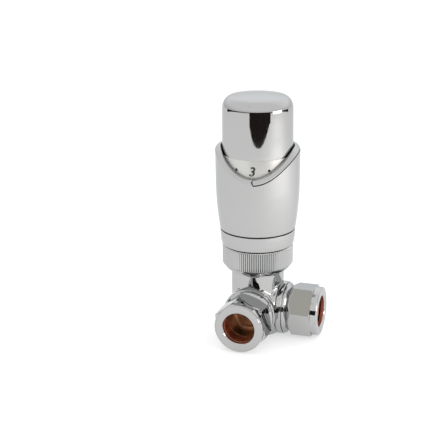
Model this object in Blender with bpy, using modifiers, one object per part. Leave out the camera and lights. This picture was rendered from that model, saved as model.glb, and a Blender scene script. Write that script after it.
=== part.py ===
"""Thermostatic radiator valve: a corner valve, its two compression fittings and its sensing head.

The origin is where the two pipe axes meet the head's axis. +Z runs up the head, +X out of the
radiator connection and -Y out of the supply connection. The knob stands at 3 on its scale.
Sizes are millimetres. MM turns them into Blender's metres where meshes are made.
"""

import math

import bmesh
import bpy
from mathutils import Matrix

MM = 0.001
GAP = 0.3
OUTER_STEPS = 40
INNER_STEPS = 24
SMALL_STEPS = 16
COIL_STEPS = 10
MERGE_DISTANCE = 1e-5
OVERSHOOT = 1.0  # how far a cutter runs past what it cuts, or a joined piece into its neighbour

# Casting: a neck round the head's axis and one arm for each pipe.
NECK_RADIUS = 12.75
ARM_RADIUS = 12.9
BODY_TOP = 29.5
BODY_ROUNDING = 3.0
HEAD_THREAD_RADIUS = 14.6
HEAD_THREAD_START = 22.0
HEAD_THREAD_FLARE = 19.4
ARM_SHOULDER = 15.0
ARM_THREAD_START = 17.2
ARM_THREAD_RADIUS = 10.4
ARM_END = 24.5
SHOULDER_RADIUS = 10.9
THREAD_CHAMFER = 0.6

# Waterways inside the casting.
SOCKET_RADIUS = 7.65
SOCKET_STOP = 14.0
PIPE_STOP_BORE = 6.4
PIPE_STOP_END = 10.9
MOUTH_RADIUS = 9.4
MOUTH_DEPTH = 2.0
SUPPLY_BORE = 4.2
RADIATOR_BORE = 5.6
RADIATOR_BORE_START = 8.0
CHAMBER_RADIUS = 9.8
CHAMBER_FLOOR = -7.0
INSERT_BORE = 10.6
INSERT_SHELF = 13.0
SEAT_TOP = 7.0
SEAT_RADIUS = 6.8
SEAT_LIP_RADIUS = 5.7
SEAT_LIP_DEPTH = 1.0
SEAT_BORE = 4.6
SEAT_BORE_FLOOR = -5.0
TUNNEL_RADIUS = 5.8

# Compression fittings for 15 mm pipe.
NUT_START = 17.6
NUT_END = 31.7
HEX_END = 28.6
HEX_CORNER = 13.28
HEX_BACK_CHAMFER = 1.6
HEX_FRONT_CHAMFER = 0.6
HEX_BACK_RADIUS = 11.3
HEX_FRONT_RADIUS = 12.3
COLLAR_RADIUS = 11.8
COLLAR_ROUNDING = 0.6
NUT_BORE = 7.6
NUT_MOUTH_CHAMFER = 0.5
NUT_CAVITY = 10.75
NUT_CAVITY_END = 27.5
NUT_CONE_START = 28.0
NUT_CONE_DEPTH = 1.0
NUT_CONE_LEDGE = 0.5
SUPPLY_HEX_ANGLE = 40.0
RADIATOR_HEX_ANGLE = 21.5
RADIATOR_NUT_BACKED_OFF = 0.5
OLIVE_START = 23.0
OLIVE_END = 29.3
OLIVE_BORE = 7.55
OLIVE_END_RADIUS = 7.9
OLIVE_MIDDLE_RADIUS = 8.75
OLIVE_BARREL = 2.0

# Valve insert, and the stem with its disc, drawn with the valve 2 mm open.
STEM_RADIUS = 1.9
STEM_THREAD_RADIUS = 1.5
STEM_TOP = 36.0
STEM_BOTTOM = 6.4
STEM_SHOULDER = 12.2
STEM_CHAMFER = 0.4
CLIP_HEIGHT = 25.0
INSERT_RADIUS = INSERT_BORE - GAP
INSERT_TOP = 29.2
SPRING_CAVITY = 6.6
SPRING_FLOOR = 15.3
RETURN_COIL_RADIUS = 4.2
RETURN_WIRE_RADIUS = 0.45
RETURN_TURNS = 5
DISC_RADIUS = 6.4
DISC_TOP = 11.9
WASHER_BOTTOM = 9.0
WASHER_TOP = 10.5

# Knurled union nut that clamps the head on the M30 thread.
UNION_BOTTOM = 21.0
UNION_TOP = 32.5
UNION_RADIUS = 17.05
UNION_CHAMFER = 0.3
UNION_FOOT_RADIUS = 15.6
UNION_KNURL_BOTTOM = 22.7
UNION_BORE = 14.9
UNION_LIP_BORE = 12.9
UNION_LIP_BOTTOM = 31.3
KNURLS = 36
KNURL_DEPTH = 0.3

# Head: base, collar and sleeve.
BASE_BOTTOM = 29.8
BASE_FLANGE_RADIUS = 14.2
BASE_FLANGE_TOP = 31.0
BASE_NECK_RADIUS = 12.6
BASE_NECK_BORE = 11.2
BASE_PLATE_BOTTOM = 34.3
BASE_PLATE_TOP = 36.0
BASE_RIM_RADIUS = 16.4
BASE_RIM_BORE = 15.2
BASE_RIM_TOP = 46.0
CAGE_RADIUS = 12.2
CAGE_BORE = 10.9
CAGE_TOP = 70.5
SLOT_WIDTH = 4.0
SLOT_BOTTOM = 46.0
SLOT_TOP = 64.0
COLLAR_BOTTOM = 32.8
COLLAR_TOP = 40.2
COLLAR_FOOT_RADIUS = 17.35
COLLAR_TOP_RADIUS = 18.1
COLLAR_BORE = 16.75
COLLAR_FLOOR = 1.2
COLLAR_FLOOR_BORE = 13.0
SLEEVE_BOTTOM = 40.6
SLEEVE_FOOT_RADIUS = 18.15
SLEEVE_TOP_RADIUS = 20.08
SLEEVE_STRAIGHT = 63.0
SLEEVE_TAPER = 0.006
SLEEVE_SWELL = 1.8
SLEEVE_SHOULDER = 78.0
SLEEVE_CREST = 81.2
SLEEVE_CREST_RADIUS = 17.75
SLEEVE_WALL = 1.5
LIP_ACROSS = 2.6
LIP_UP = 3.2
RIM_BORE = 17.35
RIM_CHAMFER = 0.8
WINDOW_DEPTH = 12.0
WINDOW_AZIMUTH = -82.0
WINDOW_BLEND_START = 58.0
WINDOW_BLEND_END = 76.5

# Knob, which turns on the cage and lifts or lowers the sensor carrier.
KNOB_TOP = 105.3
KNOB_BOTTOM = 77.4
KNOB_TOP_RADIUS = 16.65
KNOB_BOTTOM_RADIUS = 16.8
KNOB_EDGE_RADIUS = 13.6
KNOB_EDGE_HEIGHT = 103.8
KNOB_SHOULDER = 98.1
KNOB_WALL = 1.2
KNOB_SHOULDER_ANGLE = 78.0
SCALE_BOTTOM = 60.3
SCALE_RADIUS = 16.75
SCALE_BORE = 15.3
HUB_RADIUS = 14.9
HUB_BORE = 13.2
HUB_BOTTOM = 46.6
HUB_TOP = 98.0
HUB_LEDGE_BORE = 12.5
HUB_LEDGE_BOTTOM = 66.0
HUB_LEDGE_TOP = 67.5
HUB_VENT_RADIUS = 4.0
HUB_ROOF = 1.5
SNAP_RING_HEIGHT = 68.4

# Sensor and what it pushes.
CARRIER_RADIUS = 10.5
CARRIER_BORE = 8.9
CARRIER_BOTTOM = 52.0
CARRIER_TOP = 72.0
CARRIER_FLOOR = 54.0
LUG_REACH = 12.75
LUG_WIDTH = 3.2
LUG_BOTTOM = 52.2
LUG_TOP = 56.8
CAPSULE_RADIUS = 8.5
CAPSULE_BOTTOM = 54.4
CAPSULE_TOP = 94.0
CAPSULE_ROUNDING = 1.5
CAPSULE_BORE_TOP = 66.0
PISTON_RADIUS = 2.4
PISTON_BOTTOM = 47.5
PISTON_TOP = 64.0
HOUSING_RADIUS = 6.4
HOUSING_BORE = 5.4
HOUSING_BOTTOM = 37.3
HOUSING_TOP = 47.2
HOUSING_ROOF = 1.2
HOUSING_LIP = 1.0
ROD_RADIUS = 2.1
ROD_BOTTOM = STEM_TOP + GAP
ROD_GUIDE_RADIUS = 1.5
ROD_FLANGE_RADIUS = 5.0
ROD_FLANGE_BOTTOM = 38.6
ROD_FLANGE_TOP = 39.6
ROD_GUIDE_TOP = 43.0
OVERRUN_COIL_RADIUS = 3.6
OVERRUN_WIRE_RADIUS = 0.5
OVERRUN_TURNS = 4


def clear_scene():
    for obj in list(bpy.data.objects):
        bpy.data.objects.remove(obj)


def new_collection(name):
    collection = bpy.data.collections.new(name)
    bpy.context.scene.collection.children.link(collection)
    return collection


clear_scene()
PARTS = new_collection("thermostatic_radiator_valve")
CUTTERS = new_collection("cutters")


def finish(name, colour, roughness, metallic=0.0):
    """One Principled material, under the name of the sub-part that wears it."""
    material = bpy.data.materials.new(name)
    material.use_nodes = True
    shader = material.node_tree.nodes["Principled BSDF"]
    shader.inputs["Base Color"].default_value = (*colour, 1.0)
    shader.inputs["Roughness"].default_value = roughness
    shader.inputs["Metallic"].default_value = metallic
    return material


def chrome(name):
    return finish(name, (0.80, 0.81, 0.82), 0.08, 1.0)


def brass(name):
    return finish(name, (0.72, 0.53, 0.27), 0.30, 1.0)


def steel(name):
    return finish(name, (0.62, 0.63, 0.64), 0.25, 1.0)


def copper(name):
    return finish(name, (0.72, 0.38, 0.24), 0.35, 1.0)


def rubber(name):
    return finish(name, (0.02, 0.02, 0.02), 0.80)


def plastic(name, shade=0.10):
    return finish(name, (shade, shade, shade * 1.05), 0.50)


def group(name, rotation=(0.0, 0.0, 0.0), parent=None, advance=0.0):
    """An empty that the pieces of one connection or one moving body hang on."""
    empty = bpy.data.objects.new(name, None)
    empty.empty_display_size = NECK_RADIUS * MM
    empty.rotation_euler = rotation
    empty.location.z = advance * MM
    empty.parent = parent
    PARTS.objects.link(empty)
    return empty


BODY_GROUP = group("body_frame")
STEM_GROUP = group("stem_frame")
HEAD_GROUP = group("head_frame")
KNOB_GROUP = group("knob_frame")
SENSOR_GROUP = group("sensor_frame")
SUPPLY_GROUP = group("supply_frame", (math.radians(90.0), 0.0, 0.0))
RADIATOR_GROUP = group("radiator_frame", (0.0, math.radians(90.0), 0.0))
RADIATOR_NUT_GROUP = group(
    "radiator_nut_frame", parent=RADIATOR_GROUP, advance=RADIATOR_NUT_BACKED_OFF
)


def as_part(obj, parent, material):
    """Files a finished object as a sub-part."""
    obj.parent = parent
    obj.data.materials.append(material)
    PARTS.objects.link(obj)
    return obj


def as_cutter(obj, parent=BODY_GROUP):
    """Files an object that only shapes others."""
    obj.parent = parent
    obj.hide_render = True
    obj.display_type = "WIRE"
    CUTTERS.objects.link(obj)
    return obj


def arc(centre, radius, start, end, steps):
    """Points on an arc in a half section, from start to end degrees, both ends included."""
    points = []
    for step in range(steps + 1):
        angle = math.radians(start + (end - start) * step / steps)
        points.append((centre[0] + radius * math.cos(angle), centre[1] + radius * math.sin(angle)))
    return points


def turned(name, outline, steps):
    """A half section of (radius, height) points turned about Z. It runs down its outer side."""
    count = len(outline)
    touches_axis = outline[0][0] == 0.0
    edges = [(index, index + 1) for index in range(count - 1)]
    if not touches_axis:
        edges.append((count - 1, 0))
    mesh = bpy.data.meshes.new(name)
    mesh.from_pydata([(radius * MM, 0.0, height * MM) for radius, height in outline], edges, [])
    obj = bpy.data.objects.new(name, mesh)
    screw = obj.modifiers.new("Turn", "SCREW")
    screw.axis = "Z"
    screw.angle = math.tau
    screw.steps = steps
    screw.render_steps = steps
    screw.use_merge_vertices = True
    screw.merge_threshold = MERGE_DISTANCE
    screw.use_smooth_shade = True
    return obj


def ring(name, inner, outer, bottom, top, steps):
    """A plain turned ring."""
    return turned(name, [(inner, top), (outer, top), (outer, bottom), (inner, bottom)], steps)


def prism(name, sides, radius, bottom, top, corner_angle=0.0):
    """A closed prism about Z with one corner at the given angle from +X."""
    form = bmesh.new()
    bmesh.ops.create_cone(
        form,
        cap_ends=True,
        segments=sides,
        radius1=radius * MM,
        radius2=radius * MM,
        depth=(top - bottom) * MM,
    )
    form.verts.ensure_lookup_table()
    corner = form.verts[0].co
    turn = math.radians(corner_angle) - math.atan2(corner.y, corner.x)
    lift = Matrix.Translation((0.0, 0.0, (top + bottom) / 2.0 * MM))
    bmesh.ops.transform(form, matrix=lift @ Matrix.Rotation(turn, 4, "Z"), verts=form.verts)
    return from_form(name, form)


def block(name, size, centre):
    """A box of the given size about a centre."""
    form = bmesh.new()
    place = Matrix.Translation([value * MM for value in centre])
    scale = Matrix.Diagonal([value * MM for value in size] + [1.0])
    bmesh.ops.create_cube(form, size=1.0, matrix=place @ scale)
    return from_form(name, form)


def from_form(name, form):
    mesh = bpy.data.meshes.new(name)
    form.to_mesh(mesh)
    form.free()
    return bpy.data.objects.new(name, mesh)


def combine(obj, operation, tool):
    """Adds a Boolean modifier that joins, cuts or intersects obj with the tool."""
    boolean = obj.modifiers.new(tool.name, "BOOLEAN")
    boolean.operation = operation
    boolean.solver = "EXACT"
    boolean.object = tool


def coil(name, radius, wire_radius, bottom, top, turns):
    """A compression spring as a round wire on a helix about Z, between two heights."""
    curve = bpy.data.curves.new(name, "CURVE")
    curve.dimensions = "3D"
    curve.bevel_depth = wire_radius * MM
    curve.bevel_resolution = 2
    curve.use_fill_caps = True
    spline = curve.splines.new("POLY")
    count = turns * COIL_STEPS
    spline.points.add(count)
    low = bottom + wire_radius
    high = top - wire_radius
    for index, point in enumerate(spline.points):
        angle = math.tau * index / COIL_STEPS
        height = low + (high - low) * index / count
        point.co = (radius * math.cos(angle) * MM, radius * math.sin(angle) * MM, height * MM, 1.0)
    return bpy.data.objects.new(name, curve)


def o_ring(name, radius, cord_radius, height):
    """A round seal: an octagon turned about Z."""
    outline = arc((radius, height), cord_radius, 90.0, -225.0, 7)
    return turned(name, outline, SMALL_STEPS)


def arm_tool(name, parent):
    """The outside of one pipe connection: a barrel, a shoulder and the nut's thread."""
    outline = [
        (0.0, ARM_END),
        (ARM_THREAD_RADIUS - THREAD_CHAMFER, ARM_END),
        (ARM_THREAD_RADIUS, ARM_END - THREAD_CHAMFER),
        (ARM_THREAD_RADIUS, ARM_THREAD_START),
        (SHOULDER_RADIUS, ARM_THREAD_START),
        (ARM_RADIUS, ARM_SHOULDER),
        (ARM_RADIUS, 0.0),
        (0.0, 0.0),
    ]
    return as_cutter(turned(name, outline, OUTER_STEPS), parent)


def socket_tool(name, parent, bore, inner_end):
    """The pipe socket of one connection, with the cone that its olive seals on."""
    past_end = 0.5
    slope = (MOUTH_RADIUS - SOCKET_RADIUS) / MOUTH_DEPTH
    outline = [
        (0.0, ARM_END + past_end),
        (MOUTH_RADIUS + slope * past_end, ARM_END + past_end),
        (SOCKET_RADIUS, ARM_END - MOUTH_DEPTH),
        (SOCKET_RADIUS, SOCKET_STOP),
        (PIPE_STOP_BORE, SOCKET_STOP),
        (PIPE_STOP_BORE, PIPE_STOP_END),
        (bore, PIPE_STOP_END),
        (bore, inner_end),
        (0.0, inner_end),
    ]
    return as_cutter(turned(name, outline, INNER_STEPS), parent)


def valve_body():
    """The casting, with the seat standing in its chamber and a tunnel from the supply to it."""
    bottom = -NECK_RADIUS
    outline = [
        (0.0, BODY_TOP),
        (HEAD_THREAD_RADIUS, BODY_TOP),
        (HEAD_THREAD_RADIUS, HEAD_THREAD_START),
        (NECK_RADIUS, HEAD_THREAD_FLARE),
    ]
    rounding_centre = (NECK_RADIUS - BODY_ROUNDING, bottom + BODY_ROUNDING)
    outline += arc(rounding_centre, BODY_ROUNDING, 0.0, -90.0, 4)
    outline.append((0.0, bottom))
    body = turned("valve_body", outline, OUTER_STEPS)
    combine(body, "UNION", arm_tool("radiator_arm", RADIATOR_GROUP))
    combine(body, "UNION", arm_tool("supply_arm", SUPPLY_GROUP))

    chamber = [
        (0.0, BODY_TOP + OVERSHOOT),
        (INSERT_BORE, BODY_TOP + OVERSHOOT),
        (INSERT_BORE, INSERT_SHELF),
        (CHAMBER_RADIUS, INSERT_SHELF),
        (CHAMBER_RADIUS, CHAMBER_FLOOR),
        (0.0, CHAMBER_FLOOR),
    ]
    combine(body, "DIFFERENCE", as_cutter(turned("chamber", chamber, INNER_STEPS)))

    seat = [
        (0.0, SEAT_TOP),
        (SEAT_LIP_RADIUS, SEAT_TOP),
        (SEAT_RADIUS, SEAT_TOP - SEAT_LIP_DEPTH),
        (SEAT_RADIUS, CHAMBER_FLOOR - OVERSHOOT),
        (0.0, CHAMBER_FLOOR - OVERSHOOT),
    ]
    combine(body, "UNION", as_cutter(turned("seat", seat, SMALL_STEPS)))
    tunnel = prism("tunnel", SMALL_STEPS, TUNNEL_RADIUS, SEAT_BORE, CHAMBER_RADIUS + OVERSHOOT)
    combine(body, "UNION", as_cutter(tunnel, SUPPLY_GROUP))

    bore = prism("seat_bore", SMALL_STEPS, SEAT_BORE, SEAT_BORE_FLOOR, SEAT_TOP + OVERSHOOT)
    combine(body, "DIFFERENCE", as_cutter(bore))
    supply = socket_tool("supply_socket", SUPPLY_GROUP, SUPPLY_BORE, 0.0)
    combine(body, "DIFFERENCE", supply)
    radiator = socket_tool("radiator_socket", RADIATOR_GROUP, RADIATOR_BORE, RADIATOR_BORE_START)
    combine(body, "DIFFERENCE", radiator)
    as_part(body, BODY_GROUP, chrome("valve_body"))


def compression_nut(name, parent, corner_angle):
    """A hexagon nut with a round collar at its pipe end and a threaded cavity behind it."""
    collar = [(0.0, NUT_END)]
    rounding_centre = (COLLAR_RADIUS - COLLAR_ROUNDING, NUT_END - COLLAR_ROUNDING)
    collar += arc(rounding_centre, COLLAR_ROUNDING, 90.0, 0.0, 4)
    collar += [(COLLAR_RADIUS, HEX_END - OVERSHOOT), (0.0, HEX_END - OVERSHOOT)]
    nut = turned(name, collar, OUTER_STEPS)

    hexagon = prism(name + "_hexagon", 6, HEX_CORNER, NUT_START, HEX_END, corner_angle)
    clear = HEX_CORNER + GAP
    limits = [
        (0.0, HEX_END),
        (HEX_FRONT_RADIUS, HEX_END),
        (clear, HEX_END - HEX_FRONT_CHAMFER),
        (clear, NUT_START + HEX_BACK_CHAMFER),
        (HEX_BACK_RADIUS, NUT_START),
        (0.0, NUT_START),
    ]
    combine(hexagon, "INTERSECT", as_cutter(turned(name + "_chamfer", limits, OUTER_STEPS), parent))
    combine(nut, "UNION", as_cutter(hexagon, parent))

    cone_end = OLIVE_END + GAP
    cavity = [
        (0.0, NUT_END + OVERSHOOT),
        (NUT_BORE + NUT_MOUTH_CHAMFER + OVERSHOOT, NUT_END + OVERSHOOT),
        (NUT_BORE, NUT_END - NUT_MOUTH_CHAMFER),
        (NUT_BORE, cone_end),
        (NUT_BORE + NUT_CONE_LEDGE, cone_end),
        (NUT_CAVITY - NUT_CONE_DEPTH, NUT_CONE_START),
        (NUT_CAVITY, NUT_CAVITY_END),
        (NUT_CAVITY, NUT_START - OVERSHOOT),
        (0.0, NUT_START - OVERSHOOT),
    ]
    combine(nut, "DIFFERENCE", as_cutter(turned(name + "_cavity", cavity, INNER_STEPS), parent))
    as_part(nut, parent, chrome(name))


def olive(name, parent):
    """The soft copper ring that the nut squeezes on the pipe: barrel-shaped outside."""
    middle = (OLIVE_START + OLIVE_END) / 2.0
    outline = [
        (OLIVE_BORE, OLIVE_END),
        (OLIVE_END_RADIUS, OLIVE_END),
        (OLIVE_MIDDLE_RADIUS, middle + OLIVE_BARREL / 2.0),
        (OLIVE_MIDDLE_RADIUS, middle - OLIVE_BARREL / 2.0),
        (OLIVE_END_RADIUS, OLIVE_START),
        (OLIVE_BORE, OLIVE_START),
    ]
    as_part(turned(name, outline, INNER_STEPS), parent, copper(name))


def valve_insert():
    """The brass insert that screws into the casting and holds the return spring."""
    bottom = INSERT_SHELF + GAP
    groove_bore = 8.8
    groove_bottom = 15.3
    groove_top = 17.5
    seal_radius = 9.7
    seal_cord_radius = 0.6
    slot_width = 3.0
    slot_depth = 2.0
    outline = [
        (SPRING_CAVITY, INSERT_TOP),
        (INSERT_RADIUS, INSERT_TOP),
        (INSERT_RADIUS, groove_top),
        (groove_bore, groove_top),
        (groove_bore, groove_bottom),
        (INSERT_RADIUS, groove_bottom),
        (INSERT_RADIUS, bottom),
        (STEM_RADIUS + GAP, bottom),
        (STEM_RADIUS + GAP, SPRING_FLOOR),
        (SPRING_CAVITY, SPRING_FLOOR),
    ]
    insert = turned("valve_insert", outline, INNER_STEPS)
    slot_size = (3.0 * INSERT_RADIUS, slot_width, 2.0 * slot_depth)
    slot = block("insert_slot", slot_size, (0.0, 0.0, INSERT_TOP))
    combine(insert, "DIFFERENCE", as_cutter(slot))
    as_part(insert, BODY_GROUP, brass("valve_insert"))
    middle = (groove_bottom + groove_top) / 2.0
    seal = o_ring("insert_o_ring", seal_radius, seal_cord_radius, middle)
    as_part(seal, BODY_GROUP, rubber("insert_o_ring"))


def gland():
    """The hexagon gland nut on top of the insert, and the seal round the stem inside it."""
    plug_bottom = 26.8
    hex_bottom = 29.8
    hex_corner = 6.9
    top = 33.0
    bore = STEM_RADIUS + GAP
    groove_bore = 4.3
    groove_half = 1.0
    seal_height = 28.3
    seal_radius = 3.25
    seal_cord_radius = 0.65
    outline = [
        (0.0, hex_bottom + OVERSHOOT),
        (SPRING_CAVITY - GAP, hex_bottom + OVERSHOOT),
        (SPRING_CAVITY - GAP, plug_bottom),
        (0.0, plug_bottom),
    ]
    nut = turned("gland_nut", outline, SMALL_STEPS)
    combine(nut, "UNION", as_cutter(prism("gland_hexagon", 6, hex_corner, hex_bottom, top)))
    inside = [
        (0.0, top + OVERSHOOT),
        (bore, top + OVERSHOOT),
        (bore, seal_height + groove_half),
        (groove_bore, seal_height + groove_half),
        (groove_bore, seal_height - groove_half),
        (bore, seal_height - groove_half),
        (bore, plug_bottom - OVERSHOOT),
        (0.0, plug_bottom - OVERSHOOT),
    ]
    combine(nut, "DIFFERENCE", as_cutter(turned("gland_bore", inside, SMALL_STEPS)))
    as_part(nut, BODY_GROUP, brass("gland_nut"))
    seal = o_ring("gland_o_ring", seal_radius, seal_cord_radius, seal_height)
    as_part(seal, BODY_GROUP, rubber("gland_o_ring"))


def c_ring(name, inner, outer, height, thickness, opening):
    """A flat snap ring with its opening towards +X."""
    clip = ring(name, inner, outer, height - thickness / 2.0, height + thickness / 2.0, SMALL_STEPS)
    size = (outer * 2.0, opening, thickness * 3.0)
    combine(clip, "DIFFERENCE", as_cutter(block(name + "_opening", size, (outer, 0.0, height))))
    return clip


def stem_and_spring():
    """The stem, the cup and clip that the return spring lifts it by, and the spring."""
    groove_radius = 1.4
    groove_half = 0.5
    clip_radius = 3.6
    clip_thickness = 0.5
    clip_opening = 2.2
    stem = [
        (0.0, STEM_TOP),
        (STEM_RADIUS - STEM_CHAMFER, STEM_TOP),
        (STEM_RADIUS, STEM_TOP - STEM_CHAMFER),
        (STEM_RADIUS, CLIP_HEIGHT + groove_half),
        (groove_radius, CLIP_HEIGHT + groove_half),
        (groove_radius, CLIP_HEIGHT - groove_half),
        (STEM_RADIUS, CLIP_HEIGHT - groove_half),
        (STEM_RADIUS, STEM_SHOULDER),
        (STEM_THREAD_RADIUS, STEM_SHOULDER),
        (STEM_THREAD_RADIUS, STEM_BOTTOM),
        (0.0, STEM_BOTTOM),
    ]
    as_part(turned("valve_stem", stem, SMALL_STEPS), STEM_GROUP, steel("valve_stem"))
    clip = c_ring("stem_clip", groove_radius + GAP, clip_radius, CLIP_HEIGHT, clip_thickness, clip_opening)
    as_part(clip, STEM_GROUP, steel("stem_clip"))

    cup_radius = 5.6
    cup_bore = 5.0
    cup_top = CLIP_HEIGHT - clip_thickness / 2.0 - GAP
    cup_ceiling = cup_top - 0.8
    cup_bottom = cup_ceiling - 1.3
    cup = [
        (STEM_RADIUS + GAP, cup_top),
        (cup_radius, cup_top),
        (cup_radius, cup_bottom),
        (cup_bore, cup_bottom),
        (cup_bore, cup_ceiling),
        (STEM_RADIUS + GAP, cup_ceiling),
    ]
    as_part(turned("spring_cup", cup, SMALL_STEPS), STEM_GROUP, steel("spring_cup"))
    spring = coil(
        "return_spring",
        RETURN_COIL_RADIUS,
        RETURN_WIRE_RADIUS,
        SPRING_FLOOR + GAP,
        cup_ceiling - GAP,
        RETURN_TURNS,
    )
    as_part(spring, STEM_GROUP, steel("return_spring"))


def disc():
    """The disc holder, the rubber washer that closes on the seat, and the nut under them."""
    bore = STEM_THREAD_RADIUS + GAP
    pocket = DISC_RADIUS - 0.5
    ceiling = WASHER_TOP + GAP
    skirt_bottom = WASHER_BOTTOM + 0.6
    holder = [
        (bore, DISC_TOP),
        (DISC_RADIUS, DISC_TOP),
        (DISC_RADIUS, skirt_bottom),
        (pocket, skirt_bottom),
        (pocket, ceiling),
        (bore, ceiling),
    ]
    as_part(turned("disc_holder", holder, SMALL_STEPS), STEM_GROUP, brass("disc_holder"))
    washer = ring("seat_washer", bore, pocket - GAP, WASHER_BOTTOM, WASHER_TOP, SMALL_STEPS)
    as_part(washer, STEM_GROUP, rubber("seat_washer"))
    nut_top = WASHER_BOTTOM - GAP
    nut_bottom = nut_top - 1.7
    nut_corner = 3.2
    nut = prism("disc_nut", 6, nut_corner, nut_bottom, nut_top)
    hole = prism("disc_nut_hole", SMALL_STEPS, bore, nut_bottom - OVERSHOOT, nut_top + OVERSHOOT)
    combine(nut, "DIFFERENCE", as_cutter(hole, STEM_GROUP))
    as_part(nut, STEM_GROUP, brass("disc_nut"))


def realised(obj):
    """Gives an object the mesh that its modifiers make, so that its points can be moved."""
    CUTTERS.objects.link(obj)
    graph = bpy.context.evaluated_depsgraph_get()
    mesh = bpy.data.meshes.new_from_object(obj.evaluated_get(graph))
    CUTTERS.objects.unlink(obj)
    obj.modifiers.clear()
    obj.data = mesh
    return obj


def union_nut():
    """The knurled ring: threaded below, with a lip above that clamps the head's base flange."""
    outline = [
        (UNION_LIP_BORE, UNION_TOP),
        (UNION_RADIUS - UNION_CHAMFER, UNION_TOP),
        (UNION_RADIUS, UNION_TOP - UNION_CHAMFER),
        (UNION_RADIUS, UNION_KNURL_BOTTOM),
        (UNION_FOOT_RADIUS, UNION_BOTTOM),
        (UNION_BORE, UNION_BOTTOM),
        (UNION_BORE, UNION_LIP_BOTTOM),
        (UNION_LIP_BORE, UNION_LIP_BOTTOM),
    ]
    nut = realised(turned("union_nut", outline, 2 * KNURLS))
    for vertex in nut.data.vertices:
        radius = math.hypot(vertex.co.x, vertex.co.y)
        column = round(math.atan2(vertex.co.y, vertex.co.x) / math.tau * 2 * KNURLS)
        if column % 2 and radius > (UNION_RADIUS - UNION_CHAMFER / 2.0) * MM:
            shrink = 1.0 - KNURL_DEPTH * MM / radius
            vertex.co.x *= shrink
            vertex.co.y *= shrink
    as_part(nut, HEAD_GROUP, chrome("union_nut"))


def head_base():
    """The fixed core of the head: flange, neck, plate, rim, and a slotted cage for the sensor."""
    ring_groove = 11.5
    groove_half = 0.6
    outline = [
        (CAGE_BORE, CAGE_TOP),
        (CAGE_RADIUS, CAGE_TOP),
        (CAGE_RADIUS, SNAP_RING_HEIGHT + groove_half),
        (ring_groove, SNAP_RING_HEIGHT + groove_half),
        (ring_groove, SNAP_RING_HEIGHT - groove_half),
        (CAGE_RADIUS, SNAP_RING_HEIGHT - groove_half),
        (CAGE_RADIUS, BASE_PLATE_TOP),
        (BASE_RIM_BORE, BASE_PLATE_TOP),
        (BASE_RIM_BORE, BASE_RIM_TOP),
        (BASE_RIM_RADIUS, BASE_RIM_TOP),
        (BASE_RIM_RADIUS, BASE_PLATE_BOTTOM),
        (BASE_NECK_RADIUS, BASE_PLATE_BOTTOM),
        (BASE_NECK_RADIUS, BASE_FLANGE_TOP),
        (BASE_FLANGE_RADIUS, BASE_FLANGE_TOP),
        (BASE_FLANGE_RADIUS, BASE_BOTTOM),
        (BASE_NECK_BORE, BASE_BOTTOM),
        (BASE_NECK_BORE, BASE_PLATE_BOTTOM),
        (CAGE_BORE, BASE_PLATE_BOTTOM),
    ]
    base = turned("head_base", outline, INNER_STEPS)
    height = SLOT_TOP - SLOT_BOTTOM
    centre = (0.0, 0.0, (SLOT_TOP + SLOT_BOTTOM) / 2.0)
    for name, size in (
        ("slots_along_x", (3.0 * CAGE_RADIUS, SLOT_WIDTH, height)),
        ("slots_along_y", (SLOT_WIDTH, 3.0 * CAGE_RADIUS, height)),
    ):
        combine(base, "DIFFERENCE", as_cutter(block(name, size, centre), HEAD_GROUP))
    as_part(base, HEAD_GROUP, plastic("head_base"))


def base_collar():
    """The plated ring between the union nut and the sleeve."""
    floor_top = COLLAR_BOTTOM + COLLAR_FLOOR
    draft = 0.1
    flare = 0.4
    flare_end = COLLAR_BOTTOM + 2.0
    band_start = COLLAR_TOP - 2.5
    chamfer = 0.3
    outline = [
        (COLLAR_BORE, COLLAR_TOP),
        (COLLAR_TOP_RADIUS, COLLAR_TOP),
        (COLLAR_TOP_RADIUS - draft, band_start),
        (COLLAR_FOOT_RADIUS + flare, flare_end),
        (COLLAR_FOOT_RADIUS, COLLAR_BOTTOM + chamfer),
        (COLLAR_FOOT_RADIUS - chamfer, COLLAR_BOTTOM),
        (COLLAR_FLOOR_BORE, COLLAR_BOTTOM),
        (COLLAR_FLOOR_BORE, floor_top),
        (COLLAR_BORE, floor_top),
    ]
    as_part(turned("base_collar", outline, OUTER_STEPS), HEAD_GROUP, chrome("base_collar"))


def sleeve_radius(height):
    """The sleeve's outer radius: it swells from its foot, then runs nearly straight."""
    rise = min((height - SLEEVE_BOTTOM) / (SLEEVE_STRAIGHT - SLEEVE_BOTTOM), 1.0)
    full = SLEEVE_TOP_RADIUS - SLEEVE_TAPER * (SLEEVE_SHOULDER - max(height, SLEEVE_STRAIGHT))
    return SLEEVE_FOOT_RADIUS + (full - SLEEVE_FOOT_RADIUS) * (1.0 - (1.0 - rise) ** SLEEVE_SWELL)


def window_drop(x, y, height):
    """How far the window pulls a point of the sleeve down: most at the middle of the front."""
    angle = math.atan2(y, x) - math.radians(WINDOW_AZIMUTH)
    angle = (angle + math.pi) % math.tau - math.pi
    if abs(angle) > math.pi / 2.0:
        return 0.0
    blend = (height - WINDOW_BLEND_START) / (WINDOW_BLEND_END - WINDOW_BLEND_START)
    blend = min(max(blend, 0.0), 1.0)
    return WINDOW_DEPTH * math.cos(angle) ** 2 * blend


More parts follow.
